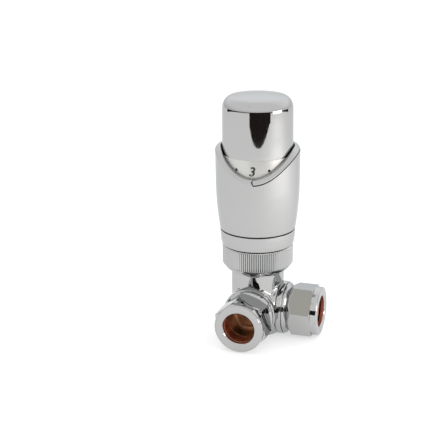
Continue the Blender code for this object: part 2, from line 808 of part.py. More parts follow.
def outer_sleeve():
    """The plated sleeve. Its rolled rim dips at the front so that the scale shows."""
    side_steps = 8
    rim_bottom = SLEEVE_SHOULDER + GAP
    inner_radius = SLEEVE_TOP_RADIUS - SLEEVE_WALL
    foot_bore = SLEEVE_FOOT_RADIUS - 1.3
    outline = [(SLEEVE_CREST_RADIUS, SLEEVE_CREST)]
    for across, up in arc((0.0, 0.0), 1.0, 68.0, 0.0, 3):
        radius = SLEEVE_TOP_RADIUS - LIP_ACROSS * (1.0 - across)
        outline.append((radius, SLEEVE_SHOULDER + LIP_UP * up))
    for step in range(1, side_steps + 1):
        height = SLEEVE_SHOULDER + (SLEEVE_BOTTOM - SLEEVE_SHOULDER) * step / side_steps
        outline.append((sleeve_radius(height), height))
    outline += [
        (foot_bore, SLEEVE_BOTTOM),
        (foot_bore, BASE_RIM_TOP),
        (inner_radius, WINDOW_BLEND_START),
        (inner_radius, SLEEVE_SHOULDER - SLEEVE_WALL),
        (RIM_BORE, rim_bottom),
        (RIM_BORE, SLEEVE_CREST - RIM_CHAMFER),
    ]
    sleeve = realised(turned("outer_sleeve", outline, OUTER_STEPS))
    for vertex in sleeve.data.vertices:
        drop = window_drop(vertex.co.x, vertex.co.y, vertex.co.z / MM)
        vertex.co.z -= drop * MM
    as_part(sleeve, HEAD_GROUP, chrome("outer_sleeve"))


def knob_outline(inset):
    """The knob's crowned top and its side, offset inwards by inset, from the axis down."""
    shoulder_steps = 4
    crown_steps = 3
    edge_radius = KNOB_EDGE_RADIUS
    crown = KNOB_TOP - KNOB_EDGE_HEIGHT
    steepest = math.radians(KNOB_SHOULDER_ANGLE)
    outline = []
    for step in range(crown_steps):
        part = step / crown_steps
        outline.append((edge_radius * part, KNOB_TOP - inset - crown * part**2))
    width = KNOB_TOP_RADIUS - edge_radius
    height = KNOB_EDGE_HEIGHT - KNOB_SHOULDER
    for step in range(shoulder_steps + 1):
        angle = steepest * (1.0 - step / shoulder_steps)
        across = edge_radius + width * math.cos(angle)
        up = KNOB_SHOULDER + height * math.sin(angle) / math.sin(steepest)
        outline.append((across - inset, up - inset * math.sin(angle)))
    outline.append((KNOB_BOTTOM_RADIUS - inset, KNOB_BOTTOM))
    return outline


def knob_cap():
    """The plated knob: a thin crowned cup."""
    outline = knob_outline(0.0) + knob_outline(KNOB_WALL)[::-1]
    as_part(turned("knob_cap", outline, OUTER_STEPS), KNOB_GROUP, chrome("knob_cap"))


def scale_ring():
    """The satin ring under the knob that carries the numbers."""
    scale = ring(
        "scale_ring",
        SCALE_BORE,
        SCALE_RADIUS,
        SCALE_BOTTOM,
        KNOB_BOTTOM - GAP,
        OUTER_STEPS,
    )
    as_part(scale, KNOB_GROUP, finish("scale_ring", (0.62, 0.62, 0.60), 0.35, 0.6))


def knob_hub():
    """The moulded core of the knob: its bore drives the carrier's lugs, its ledge holds it on."""
    outline = [
        (HUB_VENT_RADIUS, HUB_TOP),
        (HUB_RADIUS, HUB_TOP),
        (HUB_RADIUS, HUB_BOTTOM),
        (HUB_BORE, HUB_BOTTOM),
        (HUB_BORE, HUB_LEDGE_BOTTOM),
        (HUB_LEDGE_BORE, HUB_LEDGE_BOTTOM),
        (HUB_LEDGE_BORE, HUB_LEDGE_TOP),
        (HUB_BORE, HUB_LEDGE_TOP),
        (HUB_BORE, HUB_TOP - HUB_ROOF),
        (HUB_VENT_RADIUS, HUB_TOP - HUB_ROOF),
    ]
    as_part(turned("knob_hub", outline, INNER_STEPS), KNOB_GROUP, plastic("knob_hub", 0.16))


def knob_snap_ring():
    """The snap ring in the cage's groove that keeps the knob on."""
    bore = 11.8
    radius = 12.9
    thickness = 0.6
    opening = 6.0
    clip = c_ring("knob_snap_ring", bore, radius, SNAP_RING_HEIGHT, thickness, opening)
    as_part(clip, HEAD_GROUP, steel("knob_snap_ring"))


def sensor_carrier():
    """The cup that holds the sensor, with four lugs that reach through the cage's slots."""
    outline = [
        (0.0, CARRIER_TOP),
        (CARRIER_RADIUS, CARRIER_TOP),
        (CARRIER_RADIUS, CARRIER_BOTTOM),
        (0.0, CARRIER_BOTTOM),
    ]
    carrier = turned("sensor_carrier", outline, INNER_STEPS)
    height = LUG_TOP - LUG_BOTTOM
    centre = (0.0, 0.0, (LUG_TOP + LUG_BOTTOM) / 2.0)
    for name, size in (
        ("lugs_along_x", (2.0 * LUG_REACH, LUG_WIDTH, height)),
        ("lugs_along_y", (LUG_WIDTH, 2.0 * LUG_REACH, height)),
    ):
        combine(carrier, "UNION", as_cutter(block(name, size, centre), SENSOR_GROUP))
    inside = [
        (0.0, CARRIER_TOP + OVERSHOOT),
        (CARRIER_BORE, CARRIER_TOP + OVERSHOOT),
        (CARRIER_BORE, CARRIER_FLOOR),
        (PISTON_RADIUS + 2.0 * GAP, CARRIER_FLOOR),
        (PISTON_RADIUS + 2.0 * GAP, CARRIER_BOTTOM - OVERSHOOT),
        (0.0, CARRIER_BOTTOM - OVERSHOOT),
    ]
    tool = as_cutter(turned("carrier_bore", inside, INNER_STEPS), SENSOR_GROUP)
    combine(carrier, "DIFFERENCE", tool)
    as_part(carrier, SENSOR_GROUP, plastic("sensor_carrier", 0.75))


def sensor_capsule():
    """The liquid-filled sensor: a can with rounded ends and a blind bore for its piston."""
    bore = PISTON_RADIUS + GAP
    rounding_centre = (CAPSULE_RADIUS - CAPSULE_ROUNDING, CAPSULE_TOP - CAPSULE_ROUNDING)
    outline = [(0.0, CAPSULE_TOP)]
    outline += arc(rounding_centre, CAPSULE_ROUNDING, 90.0, 0.0, 3)
    outline += [
        (CAPSULE_RADIUS, CAPSULE_BOTTOM),
        (bore, CAPSULE_BOTTOM),
        (bore, CAPSULE_BORE_TOP),
        (0.0, CAPSULE_BORE_TOP),
    ]
    capsule = turned("sensor_capsule", outline, INNER_STEPS)
    as_part(capsule, SENSOR_GROUP, brass("sensor_capsule"))


def push_train():
    """What the sensor moves: its piston, the overrun spring in its housing, and the push rod."""
    piston = [
        (0.0, PISTON_TOP),
        (PISTON_RADIUS, PISTON_TOP),
        (PISTON_RADIUS, PISTON_BOTTOM),
        (0.0, PISTON_BOTTOM),
    ]
    as_part(turned("sensor_piston", piston, SMALL_STEPS), SENSOR_GROUP, steel("sensor_piston"))

    ceiling = HOUSING_TOP - HOUSING_ROOF
    lip_top = HOUSING_BOTTOM + HOUSING_LIP
    housing = [
        (0.0, HOUSING_TOP),
        (HOUSING_RADIUS, HOUSING_TOP),
        (HOUSING_RADIUS, HOUSING_BOTTOM),
        (ROD_RADIUS + GAP, HOUSING_BOTTOM),
        (ROD_RADIUS + GAP, lip_top),
        (HOUSING_BORE, lip_top),
        (HOUSING_BORE, ceiling),
        (0.0, ceiling),
    ]
    cup = turned("spring_housing", housing, SMALL_STEPS)
    as_part(cup, SENSOR_GROUP, plastic("spring_housing", 0.75))

    rod = [
        (0.0, ROD_GUIDE_TOP),
        (ROD_GUIDE_RADIUS, ROD_GUIDE_TOP),
        (ROD_GUIDE_RADIUS, ROD_FLANGE_TOP),
        (ROD_FLANGE_RADIUS, ROD_FLANGE_TOP),
        (ROD_FLANGE_RADIUS, ROD_FLANGE_BOTTOM),
        (ROD_RADIUS, ROD_FLANGE_BOTTOM),
        (ROD_RADIUS, ROD_BOTTOM),
        (0.0, ROD_BOTTOM),
    ]
    as_part(turned("push_rod", rod, SMALL_STEPS), SENSOR_GROUP, steel("push_rod"))
    spring = coil(
        "overrun_spring",
        OVERRUN_COIL_RADIUS,
        OVERRUN_WIRE_RADIUS,
        ROD_FLANGE_TOP + GAP,
        ceiling - GAP,
        OVERRUN_TURNS,
    )
    as_part(spring, SENSOR_GROUP, steel("overrun_spring"))


valve_body()
compression_nut("supply_nut", SUPPLY_GROUP, SUPPLY_HEX_ANGLE)
compression_nut("radiator_nut", RADIATOR_NUT_GROUP, RADIATOR_HEX_ANGLE)
olive("supply_olive", SUPPLY_GROUP)
olive("radiator_olive", RADIATOR_GROUP)
valve_insert()
gland()
stem_and_spring()
disc()
union_nut()
head_base()
base_collar()
outer_sleeve()
knob_cap()
scale_ring()
knob_hub()
knob_snap_ring()
sensor_carrier()
sensor_capsule()
push_train()
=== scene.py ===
"""Looks of the thermostatic radiator valve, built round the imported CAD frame.

Lengths in this script are millimetres, as on the drawing of the part, and MM turns them into
metres where a mesh is made. Turned outlines are half sections of (radius, height).
"""

import math

import bmesh
import bpy
import numpy as np
from mathutils import Matrix, Vector

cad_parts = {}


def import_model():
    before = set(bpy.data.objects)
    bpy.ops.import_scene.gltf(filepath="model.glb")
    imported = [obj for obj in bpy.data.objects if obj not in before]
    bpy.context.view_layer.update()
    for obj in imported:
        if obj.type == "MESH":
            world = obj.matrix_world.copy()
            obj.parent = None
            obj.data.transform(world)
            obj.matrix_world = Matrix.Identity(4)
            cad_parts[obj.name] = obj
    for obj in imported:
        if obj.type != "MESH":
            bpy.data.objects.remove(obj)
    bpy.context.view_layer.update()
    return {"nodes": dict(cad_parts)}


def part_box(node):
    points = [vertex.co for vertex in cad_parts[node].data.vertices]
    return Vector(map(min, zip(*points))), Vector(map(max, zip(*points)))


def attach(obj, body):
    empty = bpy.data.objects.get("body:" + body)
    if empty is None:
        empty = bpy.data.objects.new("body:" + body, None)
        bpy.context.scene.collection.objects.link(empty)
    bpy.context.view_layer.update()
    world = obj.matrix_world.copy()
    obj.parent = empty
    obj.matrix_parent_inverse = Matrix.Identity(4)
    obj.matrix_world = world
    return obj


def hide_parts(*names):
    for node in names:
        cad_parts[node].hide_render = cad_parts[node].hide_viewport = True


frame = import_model()

MM = 0.001


def lowest(node, axis=2):
    """A CAD node's lowest coordinate on one axis, in millimetres."""
    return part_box(node)[0][axis] / MM


def highest(node, axis=2):
    """A CAD node's highest coordinate on one axis, in millimetres."""
    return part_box(node)[1][axis] / MM


# ---------------------------------------------------------------- driving dimensions

# Casting and spigots. Lengths along an arm start where the axes meet.
BODY_TOP = highest("valve_body")
NECK_RADIUS = 12.75
ARM_RADIUS = 12.9
ARM_SHOULDER = 15.0
ARM_NECK_START = 17.2
ARM_RING_START = 12.1
SHOULDER_RADIUS = 10.9
ARM_END = 24.5
ARM_THREAD_RADIUS = 10.4
HEAD_THREAD_RADIUS = 14.6
HEAD_THREAD_START = 22.0
HEAD_THREAD_FLARE = 19.4
SOCKET_RADIUS = 7.65
SOCKET_STOP = 14.0
PIPE_STOP_BORE = 6.4
PIPE_STOP_END = 10.9
MOUTH_RADIUS = 9.4
MOUTH_DEPTH = 2.0
SUPPLY_BORE = 4.2
RADIATOR_BORE = 5.6
CHAMBER_RADIUS = 9.8
CHAMBER_FLOOR = -7.0
INSERT_BORE = 10.6
INSERT_SHELF = 13.0
PITCH = 1.5

# Compression nuts. HEX_FLAT is half the width across flats.
NUT_START = 17.6
NUT_END = -lowest("supply_nut", 1)
HEX_END = NUT_END - 3.1
HEX_FLAT = 11.5
HEX_CORNER_ROUNDING = 0.2
COLLAR_RADIUS = 11.8
NUT_BORE = 7.6
NUT_CAVITY = 10.75
SUPPLY_HEX_ANGLE = 40.0
RADIATOR_HEX_ANGLE = 21.5
RADIATOR_NUT_SHIFT = highest("radiator_nut", 0) - NUT_END

# Union nut and base collar.
UNION_BOTTOM = lowest("union_nut")
UNION_TOP = highest("union_nut")
UNION_RADIUS = highest("union_nut", 0)
KNURLS = 102
COLLAR_BOTTOM = lowest("base_collar")
COLLAR_TOP = highest("base_collar")
COLLAR_TOP_RADIUS = highest("base_collar", 0)

# Sleeve. The lip is a quarter of an ellipse round (LIP_CENTRE, SLEEVE_SHOULDER).
SLEEVE_BOTTOM = lowest("outer_sleeve")
SLEEVE_CREST = highest("outer_sleeve")
SLEEVE_RADIUS = highest("outer_sleeve", 0)
LIP_ACROSS = 2.6
LIP_UP = 3.2
LIP_CENTRE = SLEEVE_RADIUS - LIP_ACROSS
LIP_CREASE = math.radians(24.0)
SLEEVE_SHOULDER = SLEEVE_CREST - LIP_UP
WINDOW_AZIMUTH = -82.0
WINDOW_DEPTH = 12.0
BAND_RECESS = 0.10
SEAM_DEPTH = 0.42
SEAM_HALF = math.radians(5.4)
END_SEAM_HALF = 1.0

# How many rows of the sleeve's mesh lie in its bore above the lip, on the lip, and from its
# foot up its inner wall.
SLEEVE_BORE_ROWS = 3
LIP_ROWS = 12
SLEEVE_INNER_ROWS = 8

# Scale and knob.
SCALE_RADIUS = highest("scale_ring", 0)
KNOB_TOP = highest("knob_cap")
KNOB_BOTTOM = lowest("knob_cap")
KNOB_BOTTOM_RADIUS = highest("knob_cap", 0)


# ---------------------------------------------------------------- mesh helpers


def smooth_step(low, high, value):
    """An eased rise from 0 at low to 1 at high."""
    part = min(max((value - low) / (high - low), 0.0), 1.0)
    return part * part * (3.0 - 2.0 * part)


def rounded(corners, steps=5):
    """A polyline from (radius, height, fillet) corners, with an arc at each fillet."""
    count = len(corners)
    line = []
    for index, (radius, height, fillet) in enumerate(corners):
        here = Vector((radius, height))
        if fillet <= 0.0:
            line.append(tuple(here))
            continue
        before = Vector(corners[index - 1][:2]) - here
        after = Vector(corners[(index + 1) % count][:2]) - here
        half = before.angle(after) / 2.0
        reach = fillet / math.tan(half)
        start = here + before.normalized() * reach
        end = here + after.normalized() * reach
        inwards = (before.normalized() + after.normalized()).normalized()
        centre = here + inwards * fillet / math.sin(half)
        first = start - centre
        sweep = first.angle_signed(end - centre)
        for step in range(steps + 1):
            turn = Matrix.Rotation(-sweep * step / steps, 2)
            line.append(tuple(centre + turn @ first))
    return line


def polar(radius, angle, height):
    """A point at an angle in radians round the Z axis."""
    return Vector((radius * math.cos(angle), radius * math.sin(angle), height))


def scene_object(name, data):
    """A new object in the scene that carries the data."""
    obj = bpy.data.objects.new(name, data)
    bpy.context.scene.collection.objects.link(obj)
    return obj


def mesh_object(name, form):
    """A new object in the scene with the mesh of a bmesh, which is freed."""
    mesh = bpy.data.meshes.new(name)
    form.to_mesh(mesh)
    form.free()
    return scene_object(name, mesh)


def grid_surface(name, rows, wrap_rows):
    """A closed skin over rows of points that each go once round. A row of one point is a pole."""
    form = bmesh.new()
    rings = [[form.verts.new(point) for point in row] for row in rows]
    pairs = list(zip(rings, rings[1:]))
    if wrap_rows:
        pairs.append((rings[-1], rings[0]))
    for upper, lower in pairs:
        count = max(len(upper), len(lower))
        for index in range(count):
            following = (index + 1) % count
            corners = []
            around = ((upper, index), (upper, following), (lower, following), (lower, index))
            for ring, pick in around:
                vertex = ring[pick % len(ring)]
                if vertex not in corners:
                    corners.append(vertex)
            form.faces.new(corners)
    bmesh.ops.recalc_face_normals(form, faces=form.faces)
    return mesh_object(name, form)


def shade(obj, angle=32.0):
    """Smooth shading, with a crisp edge where faces meet at more than the angle in degrees."""
    obj.data.shade_smooth()
    obj.data.set_sharp_from_angle(angle=math.radians(angle))
    return obj


def lathe(name, outline, steps, place=Matrix(), radius_at=None):
    """A turned solid. radius_at(radius, height, angle) may change the radius as it goes round."""
    rows = []
    for radius, height in outline:
        if radius == 0.0:
            rows.append([place @ Vector((0.0, 0.0, height)) * MM])
            continue
        row = []
        for step in range(steps):
            angle = math.tau * step / steps
            reach = radius_at(radius, height, angle) if radius_at else radius
            row.append(place @ polar(reach, angle, height) * MM)
        rows.append(row)
    return shade(grid_surface(name, rows, outline[0][0] != 0.0))


def boolean(obj, tool, operation):
    """Applies one Boolean and removes the tool."""
    modifier = obj.modifiers.new(tool.name, "BOOLEAN")
    modifier.operation = operation
    modifier.solver = "EXACT"
    modifier.object = tool
    apply_modifiers(obj)
    bpy.data.objects.remove(tool)


def apply_modifiers(obj):
    """Replaces the mesh by what its modifiers make of it."""
    graph = bpy.context.evaluated_depsgraph_get()
    mesh = bpy.data.meshes.new_from_object(obj.evaluated_get(graph))
    obj.modifiers.clear()
    obj.data = mesh


SUPPLY = Matrix.Rotation(math.radians(90.0), 4, "X")
RADIATOR = Matrix.Rotation(math.radians(90.0), 4, "Y")
RADIATOR_NUT = RADIATOR @ Matrix.Translation((0.0, 0.0, RADIATOR_NUT_SHIFT))


# ---------------------------------------------------------------- materials


class Nodes:
    """A material's node tree, with short calls for the nodes used here."""

    def __init__(self, name):
        self.material = bpy.data.materials.new(name)
        self.material.use_nodes = True
        self.tree = self.material.node_tree
        self.shader = self.tree.nodes["Principled BSDF"]
        self.place = self.tree.nodes.new("ShaderNodeTexCoord").outputs["Object"]

    def link(self, output, target):
        self.tree.links.new(output, target)

    def noise(self, scale, detail=3.0, stretch=(1.0, 1.0, 1.0)):
        """Noise whose cells are about 1/scale metres across, stretched along the axes."""
        mapping = self.tree.nodes.new("ShaderNodeMapping")
        mapping.inputs["Scale"].default_value = stretch
        self.link(self.place, mapping.inputs["Vector"])
        noise = self.tree.nodes.new("ShaderNodeTexNoise")
        noise.inputs["Scale"].default_value = scale
        noise.inputs["Detail"].default_value = detail
        self.link(mapping.outputs["Vector"], noise.inputs["Vector"])
        return noise.outputs["Fac"]

    def spread(self, value, low, high):
        """Maps noise, which mostly lies between 0.3 and 0.7, on to the range low to high."""
        ranged = self.tree.nodes.new("ShaderNodeMapRange")
        ranged.inputs["From Min"].default_value = 0.3
        ranged.inputs["From Max"].default_value = 0.7
        ranged.inputs["To Min"].default_value = low
        ranged.inputs["To Max"].default_value = high
        self.link(value, ranged.inputs["Value"])
        return ranged.outputs["Result"]

    def colours(self, value, first, second):
        """Base colour that runs from first to second as the value goes from 0 to 1."""
        mix = self.tree.nodes.new("ShaderNodeMix")
        mix.data_type = "RGBA"
        mix.inputs[6].default_value = (*first, 1.0)
        mix.inputs[7].default_value = (*second, 1.0)
        self.link(value, mix.inputs[0])
        self.link(mix.outputs[2], self.shader.inputs["Base Color"])

    def roughness(self, value, low, high):
        """Roughness that wanders between low and high with the noise."""
        self.link(self.spread(value, low, high), self.shader.inputs["Roughness"])

    def bump(self, value, depth):
        """Bump of the given depth in millimetres."""
        bump = self.tree.nodes.new("ShaderNodeBump")
        bump.inputs["Distance"].default_value = depth * MM
        self.link(value, bump.inputs["Height"])
        self.link(bump.outputs["Normal"], self.shader.inputs["Normal"])

    def metal(self):
        self.shader.inputs["Metallic"].default_value = 1.0


def chrome(name, ripple=0.0012, tint=(0.445, 0.447, 0.444)):
    """Bright plating: a cool metal with a faint ripple and slight haze."""
    nodes = Nodes(name)
    nodes.metal()
    nodes.shader.inputs["Specular Tint"].default_value = (0.80, 0.82, 0.84, 1.0)
    clouds = nodes.noise(45.0)
    nodes.colours(clouds, tint, [value * 1.05 for value in tint])
    nodes.roughness(nodes.noise(260.0, 4.0), 0.015, 0.05)
    nodes.bump(nodes.noise(180.0, 2.0), ripple)
    return nodes.material


def satin():
    """The scale's fine matt plating, brushed round the ring."""
    nodes = Nodes("satin_plating")
    nodes.shader.inputs["Metallic"].default_value = 0.45
    grain = nodes.noise(900.0, 4.0, (1.0, 1.0, 5.0))
    nodes.colours(grain, (0.60, 0.60, 0.58), (0.63, 0.63, 0.61))
    nodes.roughness(grain, 0.33, 0.37)
    nodes.bump(grain, 0.0002)
    return nodes.material


def machined(name, dark, light, roughness=(0.18, 0.34)):
    """Turned metal: fine tool marks round the axis and a little tarnish."""
    nodes = Nodes(name)
    nodes.metal()
    tarnish = nodes.noise(160.0, 5.0)
    nodes.colours(nodes.spread(tarnish, 0.0, 1.0), dark, light)
    nodes.roughness(tarnish, *roughness)
    nodes.bump(nodes.noise(1300.0, 2.0, (1.0, 1.0, 6.0)), 0.006)
    return nodes.material


def moulded(name, dark, light, roughness=(0.38, 0.52), grain=0.012):
    """Moulded plastic or rubber: a fine even grain and faint clouding."""
    nodes = Nodes(name)
    nodes.colours(nodes.spread(nodes.noise(90.0, 3.0), 0.0, 1.0), dark, light)
    fine = nodes.noise(3200.0, 2.0)
    nodes.roughness(fine, *roughness)
    nodes.bump(fine, grain)
    return nodes.material


CHROME_BRASS = chrome("chrome_on_brass_plating")
CHROME_SHELL = chrome("chrome_on_plastic_plating", ripple=0.002)
SATIN = satin()
BRASS = machined("turned_brass", (0.50, 0.33, 0.13), (0.72, 0.52, 0.25))
RAW_BORE = machined("bare_bore", (0.46, 0.32, 0.21), (0.56, 0.40, 0.27), (0.30, 0.38))
COPPER = machined("drawn_copper", (0.68, 0.30, 0.20), (0.78, 0.37, 0.26), (0.32, 0.42))
STEEL = machined("turned_steel", (0.46, 0.47, 0.48), (0.66, 0.67, 0.68), (0.12, 0.26))
SPRING_STEEL = machined("spring_wire", (0.34, 0.35, 0.37), (0.56, 0.57, 0.59), (0.15, 0.30))
RUBBER = moulded("seal_rubber", (0.012, 0.012, 0.013), (0.03, 0.03, 0.03), (0.55, 0.75))
DARK_PLASTIC = moulded("grey_plastic", (0.075, 0.077, 0.082), (0.11, 0.112, 0.118))
HUB_PLASTIC = moulded("hub_plastic", (0.13, 0.13, 0.14), (0.18, 0.18, 0.19))
LIGHT_PLASTIC = moulded("white_plastic", (0.66, 0.665, 0.67), (0.76, 0.765, 0.77))
# Darker chrome for the knurls' grooves: painted shade in the recesses.
CHROME_PAINTED_GROOVE_SHADE = chrome("chrome_painted_knurl_shade", tint=(0.385, 0.39, 0.39))
# Near-black, used as painted shade in seams, gaps, bores and faces hidden under other parts.
PAINTED_SHADE_BLACK = moulded("painted_shade_black", (0.008, 0.008, 0.009), (0.014, 0.014, 0.015), (0.6, 0.8))
INK = moulded("dial_ink", (0.010, 0.011, 0.013), (0.018, 0.019, 0.022), (0.5, 0.7), 0.004)


def dress(obj, body, materials, nodes=()):
    """Gives a piece its material, its body and the CAD nodes it stands for."""
    for material in materials:
        obj.data.materials.append(material)
    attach(obj, body)
    if nodes:
        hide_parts(*nodes)
    return obj


# ---------------------------------------------------------------- casting


def turned_field(points, outline, turn):
    """Signed distance to a solid turned from a closed outline, and the distance's slope.

    turn is the rotation from the part's frame into the frame that the outline is drawn in.
    """
    local = points @ turn.T
    radius = np.maximum(np.hypot(local[:, 0], local[:, 1]), 1e-6)
    flat = np.stack([radius, local[:, 2]], axis=1)
    best = np.full(len(flat), np.inf)
    nearest = np.zeros_like(flat)
    inside = np.zeros(len(flat), bool)
    for first, second in zip(outline, outline[1:] + outline[:1]):
        a = np.array(first[:2])
        edge = np.array(second[:2]) - a
        offset = flat - a
        part = np.clip(offset @ edge / (edge @ edge), 0.0, 1.0)
        away = offset - part[:, None] * edge
        size = np.linalg.norm(away, axis=1)
        closer = size < best
        best[closer] = size[closer]
        nearest[closer] = away[closer]
        spans = (first[1] > flat[:, 1]) != (second[1] > flat[:, 1])
        if edge[1]:
            crossing = a[0] + edge[0] * (flat[:, 1] - a[1]) / edge[1]
            inside ^= spans & (flat[:, 0] < crossing)
    sign = np.where(inside, -1.0, 1.0)
    away = nearest * (sign / np.maximum(best, 1e-6))[:, None]
    level = away[:, :1] * local[:, :2] / radius[:, None]
    return best * sign, np.hstack([level, away[:, 1:]]) @ turn


def soft_union(first, second, width):
    """The nearer of two fields, with a fillet of about the width where they meet at an angle."""
    (a, slope_a), (b, slope_b) = first, second
    cosine = (slope_a * slope_b).sum(axis=1)
    width = width * np.clip(1.0 - cosine, 0.0, 1.0) + 1e-3
    part = np.clip(0.5 + 0.5 * (b - a) / width, 0.0, 1.0)
    value = b + (a - b) * part - width * part * (1.0 - part)
    return value, slope_b + (slope_a - slope_b) * part[:, None]


def casting_field():
    """The field of the cast body: neck and arms run into each other with cast fillets.

    Each outline is drawn skin inside the surface, which rounds every outer edge by that much.
    """
    skin = 0.7
    neck = [
        (-5.0, HEAD_THREAD_START + 1.0),
        (HEAD_THREAD_RADIUS - skin, HEAD_THREAD_START + 1.0),
        (HEAD_THREAD_RADIUS - skin, HEAD_THREAD_START + 0.35),
        (NECK_RADIUS - skin, HEAD_THREAD_FLARE),
        (NECK_RADIUS - skin, -NECK_RADIUS + 2.9),
        (NECK_RADIUS - 0.9, -NECK_RADIUS + 1.6),
        (NECK_RADIUS - 1.6, -NECK_RADIUS + 0.95),
        (NECK_RADIUS - 2.9, -NECK_RADIUS + skin),
        (-5.0, -NECK_RADIUS + skin),
    ]
    arm = [
        (-5.0, ARM_RING_START - skin),
        (ARM_RADIUS - skin, ARM_RING_START - skin),
        (ARM_RADIUS - skin, -2.0),
        (-5.0, -2.0),
    ]
    to_supply = np.array(SUPPLY.inverted().to_3x3())
    to_radiator = np.array(RADIATOR.inverted().to_3x3())

    def field(points):
        """Signed distance to the casting's surface, and the distance's slope."""
        upright = turned_field(points, neck, np.eye(3))
        front = turned_field(points, arm, to_supply)
        side = turned_field(points, arm, to_radiator)
        value, slope = soft_union(upright, soft_union(front, side, 1.5), 1.7)
        return value - skin, slope

    return field


def settle(obj, field):
    """Moves each vertex on to the surface where the field is zero."""
    count = len(obj.data.vertices)
    points = np.empty(count * 3)
    obj.data.vertices.foreach_get("co", points)
    points = points.reshape(-1, 3) / MM
    for _ in range(10):
        value, slope = field(points)
        size = np.maximum((slope**2).sum(axis=1), 0.3)
        points -= slope * (value / size)[:, None] * 0.8
    obj.data.vertices.foreach_set("co", (points * MM).ravel())
    obj.data.update()


def thread_wave(height, angle, start, end, depth):
    """How deep a helical 60 degree thread cuts at a place, fading at both ends."""
    turn = (height / PITCH - angle / math.tau) % 1.0
    vee = abs(2.0 * turn - 1.0)
    fade = smooth_step(start, start + 0.5, height) * (1.0 - smooth_step(end - 0.7, end, height))
    return depth * min(max(1.25 * vee - 0.125, 0.0), 1.0) * fade


def threaded(name, radius, start, end, rest, depth, place):
    """A spigot with a helical thread outside from end down to start, then the outline's rest."""
    rows_per_pitch = 9
    chamfer = 0.6
    top = end - chamfer
    count = round((end - start) / PITCH * rows_per_pitch)
    outline = [(radius - chamfer, end)]
    outline += [(radius, top - (top - start) * step / count) for step in range(count + 1)]
    thread_rows = len(outline)
    outline += rest
    marked = {point: index for index, point in enumerate(outline)}

    def radius_at(reach, height, angle):
        """Cuts the thread into the rows that belong to it."""
        if not 0 < marked[(reach, height)] < thread_rows:
            return reach
        return radius - thread_wave(height, angle, start, end, depth)

    return lathe(name, outline, 120, place, radius_at)


def arm_spigot(name, place):
    """The turned end of one arm: nut thread, shoulder, two rings, and the pipe socket inside."""
    groove = 0.4
    rest = rounded([
        (SHOULDER_RADIUS, ARM_NECK_START, 0.12),
        (ARM_RADIUS - 0.75, ARM_NECK_START - 1.0, 0.3),
        (ARM_RADIUS - 0.55, ARM_SHOULDER + 0.25, 0.1),
        (ARM_RADIUS - 0.55 - groove, ARM_SHOULDER + 0.2, 0.0),
        (ARM_RADIUS - 0.55 - groove, ARM_SHOULDER, 0.0),
        (ARM_RADIUS, ARM_SHOULDER - 0.1, 0.3),
        (ARM_RADIUS, ARM_RING_START + 0.2, 0.35),
        (ARM_RADIUS - 2.0 * groove, ARM_RING_START + 0.1, 0.0),
        (ARM_RADIUS - 2.0 * groove, PIPE_STOP_END - 0.05, 0.0),
        (PIPE_STOP_BORE, PIPE_STOP_END - 0.05, 0.0),
        (PIPE_STOP_BORE, SOCKET_STOP, 0.15),
        (SOCKET_RADIUS, SOCKET_STOP, 0.1),
        (SOCKET_RADIUS, ARM_END - MOUTH_DEPTH, 0.2),
        (MOUTH_RADIUS - 0.1, ARM_END - 0.1, 0.0),
        (MOUTH_RADIUS, ARM_END, 0.0),
    ], 4)
    piece = threaded(name, ARM_THREAD_RADIUS, ARM_NECK_START, ARM_END, rest, 0.7, place)
    dress(piece, "valve_body", [CHROME_BRASS, RAW_BORE], ["valve_body"])
    bare_inside(piece)


def casting():
    """The cast body, without its bores."""
    rough = [
        (0.0, HEAD_THREAD_START + 1.6),
        (HEAD_THREAD_RADIUS, HEAD_THREAD_START + 1.6),
        (HEAD_THREAD_RADIUS, HEAD_THREAD_START),
        (NECK_RADIUS, HEAD_THREAD_FLARE),
        (NECK_RADIUS, -NECK_RADIUS + 2.5),
        (NECK_RADIUS - 2.5, -NECK_RADIUS),
        (0.0, -NECK_RADIUS),
    ]
    arm = [(0.0, ARM_RING_START), (ARM_RADIUS, ARM_RING_START), (ARM_RADIUS, 0.0), (0.0, 0.0)]
    body = lathe("valve_body_casting", rough, 64)
    boolean(body, lathe("supply_arm", arm, 64, SUPPLY), "UNION")
    boolean(body, lathe("radiator_arm", arm, 64, RADIATOR), "UNION")
    remesh = body.modifiers.new("Even skin", "REMESH")
    remesh.mode = "VOXEL"
    remesh.voxel_size = 0.4 * MM
    apply_modifiers(body)
    settle(body, casting_field())
    return body


def bore_out(body):
    """Cuts the waterways and the chamber into the casting."""
    past = 2.0
    arms = (("supply", SUPPLY_BORE, SUPPLY), ("radiator", RADIATOR_BORE, RADIATOR))
    for side, bore, place in arms:
        waterway = [
            (0.0, ARM_RING_START + past),
            (PIPE_STOP_BORE + 1.0, ARM_RING_START + past),
            (PIPE_STOP_BORE + 1.0, PIPE_STOP_END),
            (bore, PIPE_STOP_END),
            (bore, CHAMBER_RADIUS - past),
            (0.0, CHAMBER_RADIUS - past),
        ]
        boolean(body, lathe(side + "_waterway", waterway, 96, place), "DIFFERENCE")
    chamber = [
        (0.0, HEAD_THREAD_START + 3.0),
        (INSERT_BORE, HEAD_THREAD_START + 3.0),
        (INSERT_BORE, INSERT_SHELF),
        (CHAMBER_RADIUS, INSERT_SHELF),
        (CHAMBER_RADIUS, CHAMBER_FLOOR),
        (0.0, CHAMBER_FLOOR),
    ]
    boolean(body, lathe("body_chamber", chamber, 96), "DIFFERENCE")


